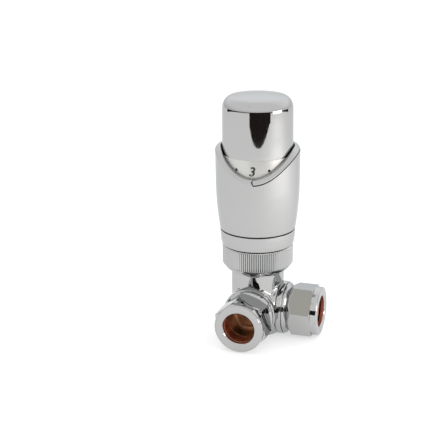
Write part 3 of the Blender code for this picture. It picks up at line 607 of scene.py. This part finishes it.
def valve_body():
    """Casting with its bores, and the three threaded spigots that belong to it."""
    body = casting()
    bore_out(body)
    shade(body, 38.0)
    dress(body, "valve_body", [CHROME_BRASS, RAW_BORE], ["valve_body"])
    bare_inside(body)
    arm_spigot("supply_spigot", SUPPLY)
    arm_spigot("radiator_spigot", RADIATOR)
    start = HEAD_THREAD_START + 0.6
    inside = [
        (INSERT_BORE, start),
        (INSERT_BORE, BODY_TOP - 0.4),
        (INSERT_BORE + 0.4, BODY_TOP),
    ]
    piece = threaded("head_thread", HEAD_THREAD_RADIUS, start, BODY_TOP, inside, 0.8, Matrix())
    dress(piece, "valve_body", [CHROME_BRASS], ["valve_body"])


def bare_inside(obj):
    """Puts the second material on the faces that line a waterway."""
    for face in obj.data.polygons:
        centre = face.center / MM
        across_supply = math.hypot(centre.x, centre.z)
        across_radiator = math.hypot(centre.y, centre.z)
        across_neck = math.hypot(centre.x, centre.y)
        in_supply = across_supply < MOUTH_RADIUS - 0.02 and centre.y < -5.0
        in_radiator = across_radiator < MOUTH_RADIUS - 0.02 and centre.x > 5.0
        in_chamber = across_neck < CHAMBER_RADIUS + 0.1 and abs(centre.z) < INSERT_SHELF - 3.0
        if in_supply or in_radiator or in_chamber:
            face.material_index = 1


# ---------------------------------------------------------------- fittings


def hexagon_reach(angle, corner_angle):
    """Distance from the axis to a hexagon with rounded corners, at an angle in radians."""
    sixth = math.radians(60.0)
    off = (angle - math.radians(corner_angle) + sixth / 2.0) % sixth - sixth / 2.0
    middle = (HEX_FLAT - HEX_CORNER_ROUNDING) / math.cos(sixth / 2.0)
    tangent = math.atan2(HEX_CORNER_ROUNDING * math.sin(sixth / 2.0),
                         middle + HEX_CORNER_ROUNDING * math.cos(sixth / 2.0))
    if abs(off) > tangent:
        return HEX_FLAT / math.cos(sixth / 2.0 - abs(off))
    rounding = math.sqrt(HEX_CORNER_ROUNDING**2 - (middle * math.sin(off)) ** 2)
    return middle * math.cos(off) + rounding


def soft_least(a, b, width):
    """The lesser of two lengths, eased over the width where they are nearly equal."""
    part = min(max(0.5 + 0.5 * (b - a) / width, 0.0), 1.0)
    return b + (a - b) * part - width * part * (1.0 - part)


def hexagon_angles(corner_angle):
    """Angles round a hexagon, gathered at its corners."""
    per_side = 22
    gather = 0.86
    angles = []
    for side in range(6):
        for step in range(per_side):
            part = step / per_side
            part -= gather * math.sin(math.tau * part) / math.tau
            angles.append(math.radians(corner_angle + 60.0 * (side + part)))
    return angles


def compression_nut(name, place, corner_angle):
    """A hexagon nut with turned chamfers and a round collar. Its bore looks like its olive."""
    widest = 13.6
    back_radius = 11.55
    back_chamfer = 1.7
    front_radius = 12.7
    front_chamfer = 0.7
    bore_end = 29.6
    cavity_end = 28.0
    rows = [(11.25, NUT_START), (11.45, NUT_START)]
    for step in range(13):
        radius = back_radius + (widest - back_radius) * step / 12
        rows.append((radius, NUT_START + 0.05 + back_chamfer * step / 12))
    rows += [(widest, NUT_START + back_chamfer + 0.4 + step * 1.6) for step in range(6)]
    for step in range(9):
        part = step / 8
        radius = widest - (widest - front_radius) * part**1.2
        rows.append((radius, HEX_END - front_chamfer * (1.0 - part)))
    hexagon_rows = len(rows)
    rows += rounded([
        (COLLAR_RADIUS, HEX_END + 0.03, 0.0),
        (COLLAR_RADIUS, NUT_END - 0.12, 0.45),
        (COLLAR_RADIUS - 0.62, NUT_END - 0.12, 0.0),
        (COLLAR_RADIUS - 0.72, NUT_END, 0.0),
        (NUT_BORE + 0.35, NUT_END, 0.12),
        (NUT_BORE, NUT_END - 0.5, 0.15),
        (NUT_BORE, bore_end, 0.0),
        (NUT_BORE + 0.5, bore_end, 0.0),
        (NUT_CAVITY - 1.0, cavity_end, 0.0),
        (NUT_CAVITY, cavity_end - 0.5, 0.0),
        (NUT_CAVITY, NUT_START + 0.3, 0.0),
        (NUT_CAVITY + 0.3, NUT_START, 0.0),
    ], 7)

    angles = hexagon_angles(corner_angle)
    grid = []
    for index, (radius, height) in enumerate(rows):
        row = []
        for angle in angles:
            reach = radius
            if index < hexagon_rows:
                reach = soft_least(hexagon_reach(angle, corner_angle), radius, 0.06)
            row.append(place @ polar(reach, angle, height) * MM)
        grid.append(row)
    nut = shade(grid_surface(name + "_body", grid, True), 34.0)
    dress(nut, name, [CHROME_BRASS, COPPER], [name])
    inverse = place.inverted()
    for face in nut.data.polygons:
        centre = inverse @ (face.center / MM)
        if math.hypot(centre.x, centre.y) < NUT_BORE + 0.06:
            face.material_index = 1


def olive(name, place):
    """A barrel-shaped copper ring with softened ends."""
    start = 23.0
    end = 29.3
    middle = (start + end) / 2.0
    bore = 7.55
    end_radius = 7.9
    belly = 8.75
    outline = rounded([
        (bore, end, 0.12),
        (end_radius, end, 0.12),
        (belly, middle + 1.0, 0.8),
        (belly, middle - 1.0, 0.8),
        (end_radius, start, 0.12),
        (bore, start, 0.12),
    ])
    dress(lathe(name + "_ring", outline, 96, place), name, [COPPER], [name])


def union_nut():
    """The knurled ring that clamps the head, with fine straight knurls."""
    foot = UNION_BOTTOM
    knurl_bottom = foot + 1.75
    shelf = 31.3
    neck_bore = 12.9
    thread_bore = 14.9
    outline = rounded([
        (neck_bore, UNION_TOP, 0.2),
        (UNION_RADIUS - 0.55, UNION_TOP, 0.5),
        (UNION_RADIUS, UNION_TOP - 0.7, 0.3),
        (UNION_RADIUS, knurl_bottom + 0.35, 0.25),
        (UNION_RADIUS - 0.55, knurl_bottom - 0.1, 0.2),
        (15.6, foot, 0.3),
        (thread_bore, foot, 0.2),
        (thread_bore, shelf, 0.2),
        (neck_bore, shelf, 0.1),
    ], 4)

    def radius_at(radius, height, angle):
        """Cuts the knurls into the ring's outer wall."""
        if radius < UNION_RADIUS - 0.3 or height < knurl_bottom:
            return radius
        wave = 0.5 - 0.5 * math.cos(angle * KNURLS)
        ends = smooth_step(knurl_bottom, knurl_bottom + 0.5, height)
        ends *= 1.0 - smooth_step(UNION_TOP - 0.8, UNION_TOP - 0.3, height)
        return radius - 0.48 * wave**1.4 * ends

    nut = shade(lathe("union_nut_knurled", outline, KNURLS * 8, Matrix(), radius_at), 50.0)
    materials = [CHROME_BRASS, PAINTED_SHADE_BLACK, CHROME_PAINTED_GROOVE_SHADE]
    dress(nut, "union_nut", materials, ["union_nut"])
    # Painted shade: the faces that look up get the near-black material, and the knurls' grooves a
    # darker chrome.
    for face in nut.data.polygons:
        centre = face.center / MM
        cut = UNION_RADIUS - math.hypot(centre.x, centre.y)
        if face.normal.z > 0.8:
            face.material_index = 1
        elif 0.25 < cut < 0.5 and knurl_bottom < centre.z < UNION_TOP - 0.6:
            face.material_index = 2


# ---------------------------------------------------------------- head


def base_collar():
    """The plated ring between the sleeve and the union nut, with a gap under its foot and painted
    shade on its underside.
    """
    foot = COLLAR_BOTTOM + 0.15
    floor_top = COLLAR_BOTTOM + 1.2
    bore = 13.0
    wall_bore = 16.75
    outline = rounded([
        (wall_bore, COLLAR_TOP, 0.15),
        (COLLAR_TOP_RADIUS, COLLAR_TOP, 0.15),
        (COLLAR_TOP_RADIUS - 0.1, COLLAR_TOP - 2.5, 3.0),
        (17.75, COLLAR_BOTTOM + 2.0, 2.0),
        (17.35, foot + 0.1, 0.3),
        (16.9, foot, 0.1),
        (bore, foot, 0.0),
        (bore, floor_top, 0.0),
        (wall_bore, floor_top, 0.0),
    ], 6)
    ring = lathe("base_collar_ring", outline, 180)
    dress(ring, "head", [CHROME_SHELL, PAINTED_SHADE_BLACK], ["base_collar"])
    # Painted shade: the faces that look down get the near-black material.
    for face in ring.data.polygons:
        if face.normal.z < -0.8:
            face.material_index = 1


def sleeve_radius(height):
    """The sleeve's outer radius: it swells from its foot, then runs nearly straight."""
    foot = 18.15
    straight = 63.0
    rise = min((height - SLEEVE_BOTTOM) / (straight - SLEEVE_BOTTOM), 1.0)
    full = SLEEVE_RADIUS - 0.006 * (SLEEVE_SHOULDER - max(height, straight))
    return foot + (full - foot) * (1.0 - (1.0 - rise) ** 1.8)


def window_drop(off, height):
    """How far the window pulls the sleeve down, at an angle in degrees off its middle."""
    if abs(off) > 90.0:
        return 0.0
    blend = min(max((height - 58.0) / (SLEEVE_SHOULDER - 1.5 - 58.0), 0.0), 1.0)
    blend = blend * (1.0 + 0.35 * (1.0 - blend) * blend)
    return WINDOW_DEPTH * math.cos(math.radians(off)) ** 2 * min(blend, 1.0)


def band_edge(off):
    """How high on the lip the band's lower edge runs, as an angle round the lip's section."""
    rise = smooth_step(8.0, 60.0, off) * (1.0 - smooth_step(164.0, 178.0, off))
    return math.radians(8.0 + 11.0 * rise)


def band_share(off):
    """1 where the rim's band runs, 0 left of the pointer and past the band's end."""
    return smooth_step(-0.1, 0.4, off) * (1.0 - smooth_step(150.0, 165.0, off))


def end_seam(off):
    """The depth of the seam across the lip where the band starts."""
    return SEAM_DEPTH * max(0.0, 1.0 - abs(off) / END_SEAM_HALF)


def s_bend(off, row_index):
    """Sways the seam where the band starts into an S, fading out round the sleeve and down it."""
    across = max(row_index - SLEEVE_BORE_ROWS, 0) / LIP_ROWS
    sway = 2.7 - 2.2 * smooth_step(0.0, 0.6, across) + 1.6 * smooth_step(0.7, 1.3, across)
    fade = (1.0 - smooth_step(2.0, 12.0, abs(off))) * (1.0 - smooth_step(1.4, 2.2, across))
    return sway * fade


def sleeve_columns():
    """Angles round the sleeve, off the window's middle, close together where the band starts."""
    offs = [-180.0 + step * 1.5 for step in range(240)]
    offs = [off for off in offs if not -1.4 < off < 2.9]
    near = [-1.3, -1.0, -0.7, -0.45, -0.2, 0.0, 0.2, 0.45, 0.7, 1.0, 1.4, 2.0]
    return sorted(offs + near)


def on_lip(angle, sunk):
    """A place on the lip's section, at an angle up from its widest part and sunk into it."""
    reach = min(LIP_CENTRE + LIP_ACROSS * math.cos(angle) / math.cos(LIP_CREASE), SLEEVE_RADIUS)
    height = SLEEVE_SHOULDER + LIP_UP * math.sin(angle)
    return reach - sunk * math.cos(angle), height - sunk * math.sin(angle)


def sleeve_section(off):
    """The sleeve's closed section at an angle off the window's middle, with the rim left level."""
    rim_bore = 17.35
    top_angle = math.radians(86.0)
    edge_angle = band_edge(off)
    share = band_share(off)
    recess = BAND_RECESS * share
    top = SLEEVE_CREST - recess - end_seam(off)
    line = [(rim_bore, 76.8), (rim_bore, top - 0.5), (rim_bore + 0.04, top - 0.22)]
    for step in range(LIP_ROWS + 1):
        angle = top_angle + (LIP_CREASE - top_angle) * step / LIP_ROWS
        line.append(on_lip(angle, recess + end_seam(off)))
    line.append(on_lip(edge_angle + SEAM_HALF, recess + end_seam(off)))
    line.append(on_lip(edge_angle + SEAM_HALF * 0.8, recess + SEAM_DEPTH * share))
    line.append(on_lip(edge_angle - SEAM_HALF * 0.8, SEAM_DEPTH * share))
    for step in range(5):
        line.append(on_lip((edge_angle - SEAM_HALF) * (1.0 - step / 5), 0.0))
    side_rows = 30
    for step in range(1, side_rows + 1):
        height = SLEEVE_SHOULDER - (SLEEVE_SHOULDER - SLEEVE_BOTTOM - 0.35) * step / side_rows
        line.append((sleeve_radius(height), height))
    foot = sleeve_radius(SLEEVE_BOTTOM)
    return line + [
        (foot - 0.05, SLEEVE_BOTTOM + 0.05),
        (foot - 0.18, SLEEVE_BOTTOM),
        (foot - 1.3, SLEEVE_BOTTOM),
        (foot - 1.1, 47.0),
        (SLEEVE_RADIUS - 1.7, 58.0),
        (SLEEVE_RADIUS - 1.5, 66.0),
        (SLEEVE_RADIUS - 1.5, 75.6),
    ]


def outer_sleeve():
    """The sleeve. Its rolled rim dips at the window, and carries a band right of the pointer.

    The bore, the foot and the seams get the near-black material: painted shade that keeps them
    dark.
    """
    offs = sleeve_columns()
    sections = [sleeve_section(off) for off in offs]
    rows = []
    for row_index in range(len(sections[0])):
        row = []
        for off, section in zip(offs, sections):
            radius, height = section[row_index]
            bend = s_bend(off, row_index)
            angle = math.radians(WINDOW_AZIMUTH + off + bend)
            row.append(polar(radius, angle, height - window_drop(off + bend, height)) * MM)
        rows.append(row)
    sleeve = shade(grid_surface("outer_sleeve_shell", rows, True), 14.0)
    dress(sleeve, "head", [CHROME_SHELL, PAINTED_SHADE_BLACK], ["outer_sleeve"])
    seam_row = SLEEVE_BORE_ROWS + LIP_ROWS + 2
    foot_row = len(rows) - SLEEVE_INNER_ROWS
    middles = [(off + following) / 2.0 for off, following in zip(offs, offs[1:] + [180.0])]
    # Painted shade on the bore, the foot, the seams and the seam across the lip.
    for index, face in enumerate(sleeve.data.polygons):
        row_index, column = divmod(index, len(offs))
        off = middles[column]
        in_seam = band_share(off) > 0.5 and abs(row_index - seam_row) <= 1
        across_lip = row_index < seam_row and end_seam(off) > 0.2 * SEAM_DEPTH
        in_bore = row_index < SLEEVE_BORE_ROWS - 1 or row_index >= foot_row
        if in_bore or in_seam or across_lip:
            face.material_index = 1


def knob_outline(inset):
    """The knob's crown, shoulder and side, moved inwards by inset, from the axis down."""
    edge_radius = 12.0
    edge_height = KNOB_TOP - 1.1
    shoulder = KNOB_TOP - 6.8
    top_radius = 16.65
    crown = KNOB_TOP - edge_height
    width = top_radius - edge_radius
    rise = edge_height - shoulder
    steepest = math.radians(78.0)
    crown_radius = edge_radius + width * math.cos(steepest)
    line = []
    for step in range(10):
        part = step / 10
        line.append((crown_radius * part, KNOB_TOP - inset - crown * part**2))
    for step in range(17):
        angle = steepest * (1.0 - step / 16)
        across = edge_radius + width * math.cos(angle)
        up = shoulder + rise * math.sin(angle) / math.sin(steepest)
        line.append((across - inset, up - inset * math.sin(angle)))
    for step in range(1, 5):
        part = step / 5
        reach = top_radius + (KNOB_BOTTOM_RADIUS - top_radius) * part
        line.append((reach - inset, shoulder + (KNOB_BOTTOM - shoulder) * part))
    return line


def knob_cap():
    """The knob's crowned shell, open below."""
    lip = rounded([
        (KNOB_BOTTOM_RADIUS - 0.02, KNOB_BOTTOM + 2.0, 0.0),
        (KNOB_BOTTOM_RADIUS, KNOB_BOTTOM, 0.08),
        (KNOB_BOTTOM_RADIUS - 1.2, KNOB_BOTTOM, 0.1),
        (KNOB_BOTTOM_RADIUS - 1.2, KNOB_BOTTOM + 2.0, 0.0),
    ], 4)
    outline = knob_outline(0.0) + lip + knob_outline(1.2)[::-1]
    knob = lathe("knob_cap_shell", outline, 200)
    dress(knob, "knob", [CHROME_SHELL], ["knob_cap"])


def on_scale(obj, angle, height):
    """Wraps a flat mesh, drawn in millimetres about the origin, on to the scale ring."""
    proud = 0.03
    for vertex in obj.data.vertices:
        across, up, depth = vertex.co
        turn = math.radians(angle) + across / SCALE_RADIUS
        reach = SCALE_RADIUS + (proud if depth > 0.0 else -0.2)
        vertex.co = polar(reach, turn, height + up) * MM
    return obj


def numeral(name, text):
    """A numeral as a thin slanted mesh, centred on the origin."""
    font = bpy.data.curves.new(name, "FONT")
    font.body = text
    font.size = 6.0
    font.shear = 0.18
    font.extrude = 0.1
    font.offset = 0.14
    font.resolution_u = 6
    source = scene_object(name, font)
    graph = bpy.context.evaluated_depsgraph_get()
    mesh = bpy.data.meshes.new_from_object(source.evaluated_get(graph))
    bpy.data.objects.remove(source)
    low = Vector([min(vertex.co[axis] for vertex in mesh.vertices) for axis in range(3)])
    high = Vector([max(vertex.co[axis] for vertex in mesh.vertices) for axis in range(3)])
    mesh.transform(Matrix.Translation(-(low + high) / 2.0))
    form = bmesh.new()
    form.from_mesh(mesh)
    bmesh.ops.remove_doubles(form, verts=form.verts, dist=1e-4)
    bmesh.ops.triangulate(form, faces=form.faces)
    return mesh_object(name, form)


def stroke_mark(name, strokes):
    """A mark made of round-ended bars, each (x, y, angle, length, width), as one thin mesh."""
    form = bmesh.new()
    for x, y, angle, length, width in strokes:
        outline = []
        for end in (1.0, -1.0):
            for step in range(9):
                turn = math.radians(-90.0 + 180.0 * step / 8)
                along = end * (length / 2.0 + width / 2.0 * math.cos(turn))
                outline.append((along, end * width / 2.0 * math.sin(turn)))
        spin = Matrix.Rotation(math.radians(angle), 2)
        loops = []
        for depth in (0.1, -0.1):
            loop = []
            for point in outline:
                flat = spin @ Vector(point)
                loop.append(form.verts.new((x + flat.x, y + flat.y, depth)))
            loops.append(loop)
        front, back = loops
        form.faces.new(front)
        form.faces.new(back[::-1])
        for index in range(len(outline)):
            following = (index + 1) % len(outline)
            form.faces.new((front[index], back[index], back[following], front[following]))
    bmesh.ops.recalc_face_normals(form, faces=form.faces)
    return mesh_object(name, form)


def scale_ring():
    """The satin scale with its numerals 1 to 5, a frost star, and a dot between each pair."""
    bottom = lowest("scale_ring")
    bore = 15.3
    outline = rounded([
        (bore, KNOB_BOTTOM, 0.1),
        (SCALE_RADIUS, KNOB_BOTTOM, 0.04),
        (SCALE_RADIUS, bottom, 0.2),
        (bore, bottom, 0.1),
    ], 4)
    dress(lathe("scale_ring_band", outline, 180), "knob", [SATIN], ["scale_ring"])

    spacing = 54.0
    number_height = 72.3
    for number in range(1, 6):
        angle = WINDOW_AZIMUTH + spacing * (3 - number)
        mark = on_scale(numeral(f"scale_number_{number}", str(number)), angle, number_height)
        dress(mark, "knob", [INK])
    star = [(0.0, 0.0, turn, 2.6, 0.34) for turn in (30.0, 90.0, 150.0)]
    angle = WINDOW_AZIMUTH + spacing * 3
    mark = on_scale(stroke_mark("scale_frost_star", star), angle, number_height)
    dress(mark, "knob", [INK])
    dot = [(0.0, 0.0, 0.0, 0.02, 1.35)]
    for gap in range(5):
        angle = WINDOW_AZIMUTH + spacing * (2.5 - gap)
        mark = on_scale(stroke_mark(f"scale_dot_{gap + 1}", dot), angle, number_height + 0.25)
        dress(mark, "knob", [INK])


# ---------------------------------------------------------------- carried-over CAD pieces

INNER_FINISHES = {
    "valve_insert": BRASS,
    "insert_o_ring": RUBBER,
    "gland_nut": BRASS,
    "gland_o_ring": RUBBER,
    "valve_stem": STEEL,
    "stem_clip": SPRING_STEEL,
    "spring_cup": STEEL,
    "return_spring": SPRING_STEEL,
    "disc_holder": BRASS,
    "seat_washer": RUBBER,
    "disc_nut": BRASS,
    "head_base": DARK_PLASTIC,
    "knob_snap_ring": SPRING_STEEL,
    "knob_hub": HUB_PLASTIC,
    "sensor_carrier": LIGHT_PLASTIC,
    "sensor_capsule": BRASS,
    "sensor_piston": STEEL,
    "spring_housing": LIGHT_PLASTIC,
    "overrun_spring": SPRING_STEEL,
    "push_rod": STEEL,
}


def finish_inner_pieces():
    """Gives each carried-over CAD piece its own procedural material."""
    for name, material in INNER_FINISHES.items():
        data = frame["nodes"][name].data
        data.materials.clear()
        data.materials.append(material)


valve_body()
compression_nut("supply_nut", SUPPLY, SUPPLY_HEX_ANGLE)
compression_nut("radiator_nut", RADIATOR_NUT, RADIATOR_HEX_ANGLE)
olive("supply_olive", SUPPLY)
olive("radiator_olive", RADIATOR)
union_nut()
base_collar()
outer_sleeve()
knob_cap()
scale_ring()
finish_inner_pieces()


# ---------------------------------------------------------------- studio

FLOOR_HEIGHT = lowest("radiator_nut") - 0.05
CAMERA_AZIMUTH = math.radians(16.762)
CAMERA_ELEVATION = math.radians(18.42)
CAMERA_DISTANCE = 0.5
CAMERA_TARGET = Vector((0.0, 0.0, 0.045))

# The cards hang at about the height of the knob's shoulder, in metres. DARK_CARD is their grey.
CARD_HEIGHT = 0.1
DARK_CARD = 0.012


def camera():
    """A camera at the photograph's angle, off to the left of the frame's middle."""
    level = math.cos(CAMERA_ELEVATION)
    back = Vector((
        math.sin(CAMERA_AZIMUTH) * level,
        -math.cos(CAMERA_AZIMUTH) * level,
        math.sin(CAMERA_ELEVATION),
    ))
    right = Vector((math.cos(CAMERA_AZIMUTH), math.sin(CAMERA_AZIMUTH), 0.0))
    up = back.cross(right)
    matrix = Matrix((right, up, back)).transposed().to_4x4()
    matrix.translation = CAMERA_TARGET + back * CAMERA_DISTANCE
    data = bpy.data.cameras.new("photo_camera")
    data.lens = 87.17
    data.sensor_width = 36.0
    data.shift_x = -0.0995
    data.shift_y = 0.0049
    data.clip_start = 0.01
    obj = scene_object("photo_camera", data)
    obj.matrix_world = matrix
    bpy.context.scene.camera = obj


def toward(degrees, distance, height):
    """A place at a level angle right of the camera's direction, in metres."""
    angle = CAMERA_AZIMUTH - math.pi / 2.0 + math.radians(degrees)
    return polar(distance, angle, height)


def floor():
    """A wide white table, lit from behind, which keeps the shadows light."""
    form = bmesh.new()
    bmesh.ops.create_circle(form, cap_ends=True, segments=96, radius=4.0)
    obj = mesh_object("floor", form)
    obj.location.z = FLOOR_HEIGHT * MM
    nodes = Nodes("backlit_white_table")
    nodes.shader.inputs["Specular IOR Level"].default_value = 0.0
    nodes.shader.inputs["Roughness"].default_value = 1.0
    nodes.colours(nodes.noise(6.0), (0.50, 0.50, 0.50), (0.52, 0.52, 0.52))
    nodes.shader.inputs["Emission Color"].default_value = (1.0, 1.0, 1.0, 1.0)
    nodes.shader.inputs["Emission Strength"].default_value = 0.52
    obj.data.materials.append(nodes.material)


def softbox(name, place, target, size, power):
    """A square light aimed at a target. The chrome does not mirror it."""
    light = bpy.data.lights.new(name, "AREA")
    light.shape = "SQUARE"
    light.size = size
    light.energy = power
    obj = scene_object(name, light)
    obj.location = place
    obj.rotation_euler = (Vector(target) - Vector(place)).to_track_quat("-Z", "Y").to_euler()
    obj.visible_glossy = False


def card(name, outline, distance, shade_value, glow=0.0):
    """A card bent round the object, which only the chrome mirrors.

    The outline is given as (degrees, bottom, top), with heights in metres.
    """
    form = bmesh.new()
    low = [form.verts.new(toward(degrees, distance, bottom)) for degrees, bottom, top in outline]
    high = [form.verts.new(toward(degrees, distance, top)) for degrees, bottom, top in outline]
    for index in range(len(outline) - 1):
        form.faces.new((low[index], low[index + 1], high[index + 1], high[index]))
    obj = mesh_object(name, form)
    nodes = Nodes(name + "_cloth")
    nodes.shader.inputs["Specular IOR Level"].default_value = 0.0
    cloth = nodes.noise(60.0, 3.0, (1.0, 1.0, 0.1))
    nodes.colours(cloth, [shade_value] * 3, [shade_value * share for share in (2.2, 1.5, 1.3)])
    if glow:
        nodes.shader.inputs["Emission Color"].default_value = (1.0, 1.0, 1.0, 1.0)
        nodes.shader.inputs["Emission Strength"].default_value = glow
    obj.data.materials.append(nodes.material)
    obj.visible_camera = False
    obj.visible_shadow = False
    obj.visible_diffuse = bool(glow)


def camera_card():
    """The tapered dark card round the camera: the black shape on the knob."""
    middle = 4.0
    bottom = FLOOR_HEIGHT * MM + 0.0055
    outline = []
    for degrees in range(-26, 42, 2):
        lean = degrees - middle
        rise = 0.0245 * (lean / 37.0) ** 1.7 if lean > 0.0 else 0.0185 * (-lean / 30.0) ** 2.6
        outline.append((degrees, bottom + rise, 0.145))
    card("camera_card", outline, 0.38, DARK_CARD)


def horizon_card():
    """A dark strip that sinks and widens to the sides: the line round the knob's shoulder."""
    outline = []
    for degrees in range(-112, 113, 4):
        aside = abs(degrees) / 104.0
        middle = CARD_HEIGHT + 0.48 * math.tan(math.radians(7.0 - 11.0 * aside**2))
        half = 0.015 + 0.028 * aside**3
        outline.append((degrees, middle - half, middle + half))
    card("horizon_card", outline, 0.5, DARK_CARD)


def bright_card():
    """A glowing card on the right: the white square on the knob's shoulder."""
    reach = 0.40
    bottom = CARD_HEIGHT + reach * math.tan(math.radians(-7.0))
    top = CARD_HEIGHT + reach * math.tan(math.radians(9.0))
    outline = [(degrees, bottom, top) for degrees in range(48, 82, 3)]
    card("right_softbox", outline, 0.42, 0.8, glow=3.0)


def world():
    """A white room, greyer near the floor and in one warm patch of ceiling above the camera."""
    data = bpy.data.worlds.new("white_room")
    data.use_nodes = True
    tree = data.node_tree

    def eased(value, start, end, first=0.0, last=1.0):
        """Goes smoothly from first to last as the value goes from start to end."""
        ranged = tree.nodes.new("ShaderNodeMapRange")
        ranged.interpolation_type = "SMOOTHSTEP"
        ranged.inputs["From Min"].default_value = start
        ranged.inputs["From Max"].default_value = end
        ranged.inputs["To Min"].default_value = first
        ranged.inputs["To Max"].default_value = last
        tree.links.new(value, ranged.inputs["Value"])
        return ranged.outputs["Result"]

    def mixed(share, first, second):
        """Runs from the first colour, or another node's colour, to the second."""
        mix = tree.nodes.new("ShaderNodeMix")
        mix.data_type = "RGBA"
        tree.links.new(share, mix.inputs[0])
        if isinstance(first, tuple):
            mix.inputs[6].default_value = first
        else:
            tree.links.new(first, mix.inputs[6])
        mix.inputs[7].default_value = second
        return mix.outputs[2]

    direction = tree.nodes.new("ShaderNodeTexCoord").outputs["Generated"]
    parts = tree.nodes.new("ShaderNodeSeparateXYZ")
    tree.links.new(direction, parts.inputs["Vector"])
    nearness = tree.nodes.new("ShaderNodeVectorMath")
    nearness.operation = "DOT_PRODUCT"
    nearness.inputs[1].default_value = Vector((-0.22, -0.585, 0.783)).normalized()
    tree.links.new(direction, nearness.inputs[0])

    rise = eased(parts.outputs["Z"], math.sin(math.radians(2.0)), math.sin(math.radians(24.0)))
    room = mixed(rise, (0.80, 0.80, 0.795, 1.0), (1.08, 1.08, 1.08, 1.0))
    patch_edge = math.cos(math.radians(3.6))
    patch_core = math.cos(math.radians(1.9))
    patch = eased(nearness.outputs["Value"], patch_edge, patch_core)
    background = tree.nodes["Background"]
    tree.links.new(mixed(patch, room, (0.70, 0.69, 0.63, 1.0)), background.inputs["Color"])
    behind = eased(parts.outputs["Y"], 0.0, 0.9, 1.0, 1.22)
    tree.links.new(behind, background.inputs["Strength"])
    bpy.context.scene.world = data
    bpy.context.scene.view_settings.view_transform = "Standard"


camera()
world()
floor()
softbox("top_softbox", (0.0, -0.1, 0.9), (0.0, 0.0, 0.0), 1.2, 1.1)
lit_floor = toward(66.0, 0.34, 0.0)
softbox("right_floor_light", lit_floor + Vector((0.0, 0.0, 0.13)), lit_floor, 0.32, 0.48)
camera_card()
horizon_card()
bright_card()
